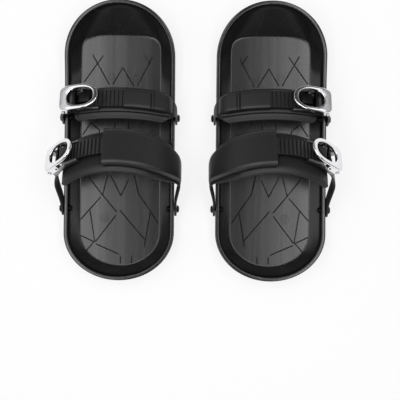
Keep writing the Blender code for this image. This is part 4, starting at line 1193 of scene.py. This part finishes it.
def wire(name: str, points: Array, radius: float) -> bpy.types.Mesh:
    """A round wire through points, with closed ends.

    Args:
        name: The mesh's name.
        points: The points that it follows.
        radius: The wire's radius.

    Returns:
        The new mesh.
    """
    curve = bpy.data.curves.new(name, "CURVE")
    curve.dimensions = "3D"
    curve.bevel_depth = radius
    curve.bevel_resolution = 3
    curve.use_fill_caps = True
    spline = curve.splines.new("POLY")
    spline.points.add(len(points) - 1)
    spline.points.foreach_set("co", np.column_stack([points, np.ones(len(points))]).ravel())
    guide = in_scene(name, curve)
    bpy.context.view_layer.update()
    mesh = bpy.data.meshes.new_from_object(guide.evaluated_get(bpy.context.evaluated_depsgraph_get()))
    bpy.data.objects.remove(guide, do_unlink=True)
    shape = bmesh.new()
    shape.from_mesh(mesh)
    bmesh.ops.remove_doubles(shape, verts=shape.verts, dist=1e-6)
    shape.to_mesh(mesh)
    shape.free()
    mesh.name = name
    return turned_out(mesh)


def softened(node: str, name: str, width: float) -> bpy.types.Mesh:
    """A copy of a solid with its flats merged and its edges rounded.

    Args:
        node: The solid's name.
        name: The new mesh's name.
        width: How wide the rounding is.

    Returns:
        The new mesh.
    """
    shape = bmesh.new()
    shape.from_mesh(bpy.data.objects[node].data)
    bmesh.ops.remove_doubles(shape, verts=shape.verts, dist=1e-6)
    bmesh.ops.dissolve_limit(shape, angle_limit=math.radians(3), verts=shape.verts, edges=shape.edges)
    mesh = bpy.data.meshes.new(name)
    shape.to_mesh(mesh)
    shape.free()
    holder = in_scene(name, mesh)
    bevel = holder.modifiers.new("rounding", "BEVEL")
    bevel.width = width
    bevel.segments = 2
    bevel.limit_method = "ANGLE"
    bevel.angle_limit = math.radians(34)
    return shown(holder, [], 50.0)


@dataclass
class Ladder(LoopPiece):
    """The toothed strip that runs from under the cover through the buckle."""

    travel_teeth: int = 3
    notch: float = 0.0046
    tooth_lean: float = 0.0003
    tail: float = 0.0305
    edge: float = 0.0003

    def outline(self) -> tuple[Array, Array]:
        """The strip from the side: angles round the crown and heights, over the teeth and back underneath."""
        strap, radius = self.strap, self.strap.crown_radius
        pocket = math.asin(strap.cover_edge / radius) - (2 * self.travel_teeth + 3) * LADDER_PITCH / radius
        start = pocket + (self.travel_teeth + 0.5) * LADDER_PITCH / radius
        end = strap.buckle_angle + self.tail / radius
        zero, step = strap.buckle_angle + self.notch / radius, LADDER_PITCH / radius
        faces = zero + step * np.arange(math.ceil((start - zero) / step) + 1, math.floor((end - zero) / step))
        # A tooth's corners before its slope: how far along, and how high over the strip
        lean = self.tooth_lean
        lift = np.array([[0, 0], [0.6 * lean, 0.0012], [1.6 * lean, 0.0016], [0.0012, 0.00155]])
        angles = (faces[:, None] + lift[:, 0] / radius).ravel()
        heights = np.tile(LADDER_BASE + lift[:, 1], len(faces))
        under = np.linspace(end, start, 90)
        angles = np.concatenate([[start], angles, [faces[-1] + step, end - 0.001 / radius, end], under])
        heights = np.concatenate([[LADDER_BASE], heights, [LADDER_BASE, LADDER_BASE, 0.0008], 0 * under])
        return angles, heights

    def build(self) -> bpy.types.Object:
        """Makes the strip: its outline carried across, a hair slimmer at both side edges."""
        angles, heights = self.outline()
        slim = np.where(heights > LADDER_BASE / 2, -self.edge, self.edge)
        half = self.strap.ladder_width / 2
        rows = []
        for across, share in ((-half, 1), (-half + self.edge, 0), (half - self.edge, 0), (half, 1)):
            reach = self.strap.crown_radius + heights + slim * share
            level = np.full(len(angles), across)
            rows.append(np.column_stack([reach * np.sin(angles), level, reach * np.cos(angles)]))
        strip = self.side.place(moved(np.array(rows), self.path.crown_matrix))
        mesh = grid_mesh(f"{self.prefix}_ladder_strap", strip)
        return new_piece(mesh, f"{self.prefix}_ladder_strip", "ladder_plastic", [f"{self.prefix}_ladder"])


@dataclass
class Buckle(LoopPiece):
    """The ratchet buckle of one loop and the arm that carries it, in the path's buckle frame."""

    cheek_gap: float = 0.0010
    cheek_thickness: float = 0.0020
    axis_height: float = 0.0080
    lever_axis: float = 0.0230
    catch_axis: float = -0.0025
    pawl_axis: tuple[float, float] = (0.0085, 0.0075)
    pin_radius: float = 0.0015
    head_radius: float = 0.0024
    head_height: float = 0.0011
    ring_ends: tuple[float, float] = (-0.0275, 0.0272)
    ring_powers: tuple[float, float] = (2.2, 6.0)
    opening: tuple[float, float, float] = (-0.0215, 0.0165, 0.0132)
    opening_powers: tuple[float, float] = (2.4, 2.4)
    underside: float = 0.0121
    thickness: float = 0.0032
    dip: float = 0.0020
    heel_rise: float = 0.45
    lug_thickness: float = 0.0024
    lug_radius: float = 0.0042
    catch_half_width: float = 0.0072
    # The rivet's hole through the tongue: how far inward along the strap, and its radius
    rivet_inward: float = 0.006
    rivet_hole: float = 0.0027
    tongue_reach: float = 0.014
    around: int = 112

    def __post_init__(self) -> None:
        """Works out the path, the names and the buckle's widths."""
        super().__post_init__()
        self.cheek_outside = self.strap.ladder_width / 2 + self.cheek_gap + self.cheek_thickness
        self.lug_outside = self.cheek_outside + RUNNING_GAP + self.lug_thickness

    def place(self, points: Array) -> Array:
        """Points from the buckle's frame to the world."""
        return self.side.place(moved(points, self.path.buckle))

    def oval(
        self, size: tuple[float, float, float], powers: tuple[float, float], grow: Array | float
    ) -> Array:
        """An oval about the strap's middle, |cos|^(2/p) along and |sin|^(2/p) across.

        Args:
            size: Where it starts and ends along the strap, and its half width.
            powers: p at its inner end and at its outer end. A higher one is squarer.
            grow: How much larger it is all round, one value or one for each point.

        Returns:
            Points of shape (around, 2).
        """
        angle = full_turn(self.around)
        along, aside = np.cos(angle), np.sin(angle)
        start, end, half_width = size
        power = np.where(along > 0, 2 / powers[1], 2 / powers[0])
        x = (start + end) / 2 + ((end - start) / 2 + grow) * np.sign(along) * np.abs(along) ** power
        y = (half_width + grow) * np.sign(aside) * np.abs(aside) ** power
        return np.column_stack([x, y])

    def ring(self) -> tuple[Array, Array]:
        """The lever's ring as rings of points round it, with the satin mark of its outer end.

        Its edges are rounded by quadratic curves, widest at the outer end, and it dips towards the inner end.
        Past the lever's pin its underside rises, so that it clears the cheeks when it is open.
        """
        outward = smooth(np.cos(full_turn(self.around)) * 1.3)
        low, top = self.underside, self.underside + self.thickness
        outer = (*self.ring_ends, self.lug_outside + GAP)
        soft, roll, lip, chamfer = 0.0009, 0.0012 + 0.0040 * outward, 0.0010, 0.0006
        shoulder = 0.0012 + 0.0021 * outward * 0.4

        def level(sizes: tuple[float, float, float], grow: Array | float, height: Array | float) -> Array:
            """One ring of points at a height."""
            flat = self.oval(sizes, self.ring_powers if sizes is outer else self.opening_powers, grow)
            return np.column_stack([flat, np.broadcast_to(height, len(flat))])

        hole = self.opening
        rows = [
            blended(level(outer, -soft, low), level(outer, 0, low), level(outer, 0, low + soft), 3),
            blended(level(outer, 0, top - shoulder), level(outer, 0, top), level(outer, -roll, top), 7),
            blended(level(hole, lip, top), level(hole, 0, top), level(hole, 0, top - lip), 5),
            blended(level(hole, 0, low + chamfer), level(hole, 0, low), level(hole, chamfer, low), 3),
        ]
        points = np.concatenate(rows)
        beyond = np.clip(points[..., 0] - self.lever_axis, 0, None)
        share = np.clip((points[..., 2] - low) / self.thickness, 0, 1)
        points[..., 2] += self.heel_rise * beyond * (1 - share)
        points[..., 2] -= self.dip * (np.clip(-points[..., 0], 0, None) / -self.ring_ends[0]) ** 2
        return points, smooth((points[..., 0] - self.opening[1] + 0.001) / 0.003)

    def lug(self) -> Array:
        """A lug from the side: round about the lever's pin, and flat up to the ring."""
        turn = np.radians(np.linspace(-110, 20, 20))
        radius, x, z = self.lug_radius, self.lever_axis, self.axis_height
        along, high = self.pawl_axis
        level = self.underside + 0.0012
        tail = [(self.ring_ends[1] - 0.005, level), (along - 0.0045, level)]
        tail += [(along - 0.0032, high - 0.0008), (along - 0.0012, high - 0.0029)]
        return np.concatenate([np.column_stack([x + radius * np.cos(turn), z + radius * np.sin(turn)]), tail])

    def lever(self) -> bpy.types.Object:
        """Makes the lever: the ring, its two lugs joined on, and the holes for its pins."""
        points, satin = self.ring()
        ring = grid_mesh(f"{self.prefix}_lever_ring", self.place(points), True, satin, "satin")
        lugs, holes = Skin(), Skin()
        outline = self.lug()
        for sign in (-1, 1):
            levels = sign * np.array([self.cheek_outside + RUNNING_GAP, self.lug_outside])
            rows = [np.column_stack([outline[:, 0], np.full(len(outline), y), outline[:, 1]]) for y in levels]
            lugs.grid(self.place(np.array(rows)))
        for x, z in ((self.lever_axis, self.axis_height), self.pawl_axis):
            bore = moved(rod(self.pin_radius + GAP, 0.03), pose((x, 0, z), math.pi / 2, "X"))
            holes.grid(self.place(bore))
        mesh = cut_with(ring, lugs.mesh("lugs"), 34.0, "UNION")
        mesh = cut_with(mesh, holes.mesh("holes"), 34.0)
        return new_piece(mesh, f"{self.prefix}_lever_ring", "chrome", [f"{self.prefix}_lever"])

    def pin(self, word: str, x: float, grip: float) -> bpy.types.Object:
        """Makes a cross pin with a domed head at each end. Its shank between the heads carries the shade
        mark, which paints it near black as the shade among the cheeks and lugs.

        Args:
            word: Which pin it is.
            x: Where it is along the strap.
            grip: Half the width that it holds together.

        Returns:
            The new piece.
        """
        turn = np.linspace(0, math.pi / 2, 8)
        rise = self.head_height * (0.3 + 0.7 * np.sin(turn))
        dome = np.column_stack([self.head_radius * np.cos(turn), grip + rise])
        dome[-1, 0] = 0.0001
        shaft = [(self.pin_radius, 0.0), (self.pin_radius, grip), (self.head_radius, grip)]
        half = np.concatenate([shaft, dome])
        profile = np.concatenate([half[::-1] * [1, -1], half[1:]])
        sides = 28
        turned = moved(lathe(profile.tolist(), sides), pose((x, 0, self.axis_height), math.pi / 2, "X"))
        # The shank is marked for painted shade: the chrome is painted near black there, as the shade between
        # the parts round it
        shank = (np.abs(profile[:, 1:]) < grip + 0.0002) * np.ones((1, sides))
        name = f"{self.prefix}_{word}_pin"
        mesh = grid_mesh(f"{name}_turned", self.place(turned), mark=shank, mark_name="shade")
        return new_piece(mesh, f"{self.prefix}_buckle", "chrome", [name])

    def arm(self) -> bpy.types.Object:
        """Makes the arm: a thin tongue under the buckle that runs down into the outer tab."""
        strap, path = self.strap, self.path
        shares = np.linspace(0, 1, 31)[1:]
        tongue_end = strap.buckle_angle - self.tongue_reach / strap.crown_radius
        angles = np.linspace(tongue_end, strap.half_angle, 30)
        rows = np.concatenate([path.arc(angles), path.leg(shares), path.tab(TAB_DROPS)])
        half = strap.ladder_width / 2
        tongue = [half, half, TONGUE_TOP - ARM_THICKNESS, TONGUE_TOP]
        crown = np.tile(tongue, (len(angles), 1))
        from_end = (angles - angles[0]) * strap.crown_radius
        crown[:, :2] *= (0.80 + 0.20 * np.sqrt(np.clip(from_end / 0.004, 0, 1)))[:, None]
        sizes = np.concatenate([crown, leg_sizes(tongue, shares, 1.2), tab_sizes(TAB_DROPS)])
        mesh = self.bored(self.swept("arm", rows, pillow(sizes, 9.0, 24)), 1)
        turn = Matrix.Rotation(-self.rivet_inward / strap.crown_radius, 4, "Y")
        place = Matrix.Translation((0, 0, -strap.crown_radius)) @ turn
        place = place @ Matrix.Translation((0, 0, strap.crown_radius))
        hole = moved(lathe([(self.rivet_hole, -0.006), (self.rivet_hole, 0.0)], 24), place)
        mesh = cut_with(mesh, grid_mesh("rivet_hole", self.place(hole)))
        return new_piece(mesh, f"{self.prefix}_buckle", "strap_plastic", [f"{self.prefix}_buckle_arm"])

    def spring(self) -> bpy.types.Object:
        """Makes the catch's spring: a hook over its nose, three turns round its pin and a leg on the cheek.
        """
        turns, pitch, radius, thin = 3, 0.0013, 0.0024, 0.0004
        start = self.catch_half_width + thin + 2 * GAP
        hook, rest = self.catch_axis + 0.0052, self.axis_height + 0.0009
        share = np.linspace(0, turns, turns * 28 + 1)
        angle = math.pi / 2 + 2 * math.pi * share
        x, z = self.catch_axis + radius * np.cos(angle), self.axis_height + radius * np.sin(angle)
        coil = np.column_stack([x, start + pitch * share, z])
        first = [(hook, 0.0043, rest), (hook, start, rest + thin)]
        inside = self.strap.ladder_width / 2 + self.cheek_gap
        last = [
            (self.catch_axis + 0.0040, coil[-1, 1] + 0.0003, self.axis_height + radius - 0.0002),
            (self.catch_axis + 0.0085, inside + 0.0008, 0.0060),
        ]
        mesh = wire(f"{self.prefix}_spring_coil", self.place(np.concatenate([first, coil, last])), thin)
        piece = new_piece(mesh, "", "spring_steel", [f"{self.prefix}_catch_spring"])
        ends = self.place(np.array([(self.catch_axis, y, self.axis_height) for y in (coil[-1, 1], start)]))
        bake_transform(piece)
        return piece

    def build(self) -> None:
        """Makes every piece of the buckle."""
        self.arm()
        self.lever()
        self.spring()
        self.pin("lever", self.lever_axis, self.lug_outside + GAP)
        self.pin("catch", self.catch_axis, self.cheek_outside + GAP)
        for node, body, slot, width in (
            ("buckle_base", "buckle", "buckle_steel", 0.0003),
            ("catch", "holder", "black_steel", 0.0003),
            ("drive_pawl", "driver", "black_steel", 0.0002),
        ):
            mesh = softened(f"{self.prefix}_{node}", f"{self.prefix}_{node}_finished", width)
            new_piece(mesh, f"{self.prefix}_{body}", slot, [f"{self.prefix}_{node}"])


@dataclass
class Fasteners(LoopPiece):
    """The two bolts of one loop, heads outside the tabs, with their nuts inside the walls."""

    radius: float = 0.0026
    head_radius: float = 0.0052
    head_height: float = 0.0032
    socket: float = 0.0017
    socket_depth: float = 0.0014
    nut_radius: float = 0.0046
    nut_height: float = 0.0040
    tail: float = 0.0012
    sides: int = 48

    def hexagon(self, corner: float) -> Array:
        """A hexagon's radius at each angle: its flat's distance over the cosine from the flat's middle."""
        past = np.mod(full_turn(self.sides), math.pi / 3)
        return corner * math.cos(math.pi / 6) / np.cos(past - math.pi / 6)

    def rings(self, levels: Sequence[tuple[Array | float, float]]) -> Array:
        """Rings about z, each from its radius, one value or one for each angle, and its height."""
        circle = ring_of(1.0, self.sides)
        rows = [np.column_stack([circle * np.reshape(r, (-1, 1)), np.full(self.sides, z)]) for r, z in levels]
        return np.array(rows)

    def bolt(self) -> Array:
        """A bolt along z: a domed head with a hexagonal socket, and a plain shank with a chamfered end."""
        seat = BOARD_WIDTH / 2 + TAB_THICKNESS + 2 * GAP
        tail = BOARD_WIDTH / 2 - RIM_WIDTH - GAP - self.nut_height - self.tail
        top, head, key = seat + self.head_height, self.head_radius, self.hexagon(self.socket)
        bottom, point, soft, chamfer = top - self.socket_depth, 0.0001, 0.0002, 0.0005
        turn = np.linspace(0.12, 1, 9) * math.pi / 2
        brim = 0.0006
        dome_radii = 0.42 * head + 0.58 * head * np.sin(turn)
        dome_heights = seat + brim + (self.head_height - brim) * np.cos(turn)
        levels = [(point, bottom), (key, bottom), (key, top - soft), (key * 1.1, top)]
        levels += [*zip(dome_radii, dome_heights), (head, seat + soft), (head - soft, seat)]
        levels += [(self.radius, seat), (self.radius, tail + chamfer), (self.radius - chamfer, tail)]
        levels.append((point, tail))
        return self.rings(levels)

    def nut(self) -> Array:
        """A nut along z, its corners turned off on both faces: the lesser of a hexagon and a circle."""
        seat = BOARD_WIDTH / 2 - RIM_WIDTH - GAP
        low, flat = seat - self.nut_height, self.hexagon(self.nut_radius)
        trimmed, bore = np.minimum(flat, 0.93 * self.nut_radius), self.radius + GAP
        sunk, slope = 0.0003, 0.0005
        levels = [(bore, low + sunk), (bore + sunk, low), (trimmed, low), (flat, low + slope)]
        levels += [(flat, seat - slope), (trimmed, seat), (bore + sunk, seat), (bore, seat - sunk)]
        return self.rings(levels)

    def build(self) -> None:
        """Makes both bolts and both nuts."""
        for outward, word in ((-1, "inner"), (1, "outer")):
            place = pose((0, self.strap.bolt_forward, BOLT_HEIGHT), outward * math.pi / 2, "Y")
            for kind, rows, looped in (("bolt", self.bolt(), False), ("nut", self.nut(), True)):
                node = f"{self.prefix}_{word}_{kind}"
                mesh = grid_mesh(f"{node}_turned", self.side.place(moved(rows, place)), looped)
                new_piece(mesh, f"{self.side.word}_board", "black_steel", [node])


def ray_kinds(nodes: Nodes) -> tuple[bpy.types.NodeSocket, bpy.types.NodeSocket]:
    """Adds two tests of a ray.

    Args:
        nodes: The nodes of a material or of the world.

    Returns:
        Whether it comes straight from the camera, and whether it was reflected or passed through something.
    """
    path = nodes.add("ShaderNodeLightPath")
    mirrored = nodes.math("MAXIMUM", path.outputs["Is Glossy Ray"], path.outputs["Is Transmission Ray"])
    return path.outputs["Is Camera Ray"], mirrored


@dataclass(frozen=True)
class Studio:
    """White floor, two long soft boxes overhead, a fill at each side, and a camera looking straight down."""

    camera_place: tuple[float, float, float] = (0.0035, -0.0795, 1.30)
    camera_roll: float = 0.5
    picture_size: float = 400.0
    picture_centre: tuple[float, float] = (195.5, 198.2)
    sensor: float = 36.0
    scale_at_rim: float = 0.001405
    rim_height: float = 0.026
    floor_size: float = 6.0
    # How much of the floor shows as plain white to the camera and in reflections
    floor_share: float = 0.78
    # What the pieces reflect, as (height of the direction, grey), and what lights them all round
    horizon: tuple[tuple[float, float], ...] = ((0.0, 0.60), (0.08, 0.30), (0.25, 0.12), (0.7, 0.04))
    ambient: tuple[float, float, float, float] = (0.24, 0.24, 0.24, 1)

    def camera(self) -> None:
        """Stands the camera over the pair, with the shift that the picture's framing needs."""
        data = bpy.data.cameras.new("camera")
        data.sensor_width = self.sensor
        reach = self.camera_place[2] - self.rim_height
        data.lens = self.sensor * reach / (self.scale_at_rim * self.picture_size)
        data.shift_x = (self.picture_size / 2 - self.picture_centre[0]) / self.picture_size
        data.shift_y = (self.picture_centre[1] - self.picture_size / 2) / self.picture_size
        camera = in_scene("camera", data)
        camera.location = self.camera_place
        camera.rotation_euler = (0, 0, math.radians(self.camera_roll))
        bpy.context.scene.camera = camera

    def lamp(
        self,
        name: str,
        place: tuple[float, float, float],
        target: tuple[float, float, float],
        size: tuple[float, float],
        radiance: float,
    ) -> None:
        """One soft box.

        Args:
            name: The lamp's name.
            place: Where its middle is.
            target: The point that it faces.
            size: Its width and its length along y.
            radiance: How bright it looks. Its power is pi times its area times this.
        """
        data = bpy.data.lights.new(name, "AREA")
        data.shape = "RECTANGLE"
        data.size, data.size_y = size
        data.energy = math.pi * size[0] * size[1] * radiance
        lamp = in_scene(name, data)
        lamp.location = place
        away = Vector(place) - Vector(target)
        lamp.rotation_euler = (0, math.atan2(away.x, away.z), 0)

    def world(self) -> None:
        """A white background for the camera, and a pale horizon under a dark zenith for reflections."""
        world = bpy.data.worlds.new("studio")
        world.use_nodes = True
        nodes = Nodes(world.node_tree)
        world.node_tree.nodes.clear()
        height = nodes.add("ShaderNodeSeparateXYZ", {0: nodes.add("ShaderNodeTexCoord").outputs["Generated"]})
        seen = nodes.ramp(height.outputs["Z"], self.horizon)
        direct, mirrored = ray_kinds(nodes)
        colour = nodes.mix(direct, nodes.mix(mirrored, self.ambient, seen), (1, 1, 1, 1))
        shine = nodes.add("ShaderNodeBackground", {"Color": colour, "Strength": 1.0})
        nodes.add("ShaderNodeOutputWorld", {"Surface": shine.outputs[0]})
        bpy.context.scene.world = world

    def floor(self) -> None:
        """A white floor that keeps a soft shadow: part lit paint, part plain white to the camera."""
        half = self.floor_size / 2
        mesh = bpy.data.meshes.new("floor")
        corners = [(-half, -half, 0), (half, -half, 0), (half, half, 0), (-half, half, 0)]
        mesh.from_pydata(corners, [], [(0, 1, 2, 3)])
        material = bpy.data.materials.new("floor_paint")
        material.use_nodes = True
        nodes = Nodes(material.node_tree)
        material.node_tree.nodes.clear()
        paint = nodes.add("ShaderNodeBsdfDiffuse", {"Color": (0.85, 0.85, 0.85, 1)})
        glow = nodes.add("ShaderNodeEmission", {"Color": (1, 1, 1, 1), "Strength": 1.0})
        share = nodes.math("MULTIPLY", nodes.math("MAXIMUM", *ray_kinds(nodes)), self.floor_share)
        blend = nodes.add("ShaderNodeMixShader", {0: share, 1: paint.outputs[0], 2: glow.outputs[0]})
        nodes.add("ShaderNodeOutputMaterial", {"Surface": blend.outputs[0]})
        mesh.materials.append(material)
        floor = in_scene("floor", mesh)

    def build(self) -> None:
        """Sets up the camera, the lamps, the world and the floor."""
        self.camera()
        for sign in (-1, 1):
            place, target = (sign * 0.43, 0, 1.35), (sign * 0.2, 0, 0)
            self.lamp(f"soft_box_{sign:+d}", place, target, (0.36, 1.6), 5.2)
        self.lamp("left_fill", (-1.5, 0, 1.4), (0, 0, 0), (1.05, 3.4), 1.1)
        self.lamp("right_fill", (1.65, 0, 1.29), (0, 0, 0), (0.42, 3.4), 1.1)
        self.world()
        self.floor()
        bpy.context.scene.view_settings.view_transform = "Standard"


def main() -> None:
    """Builds the finishes, both boards with their bindings, and the studio."""
    logging.basicConfig(level=logging.INFO, format="%(message)s")
    for group in (moulded_grain, edge_wear, fine_scratches):
        group()
    for finish in FINISHES:
        finish.build()
    for side in Side:
        Board(side).build()
        for strap in STRAPS[side]:
            for kind in (PaddedStrap, Ladder, Buckle, Fasteners):
                kind(side, strap).build()
    Studio().build()


if __name__ == "__main__":
    main()
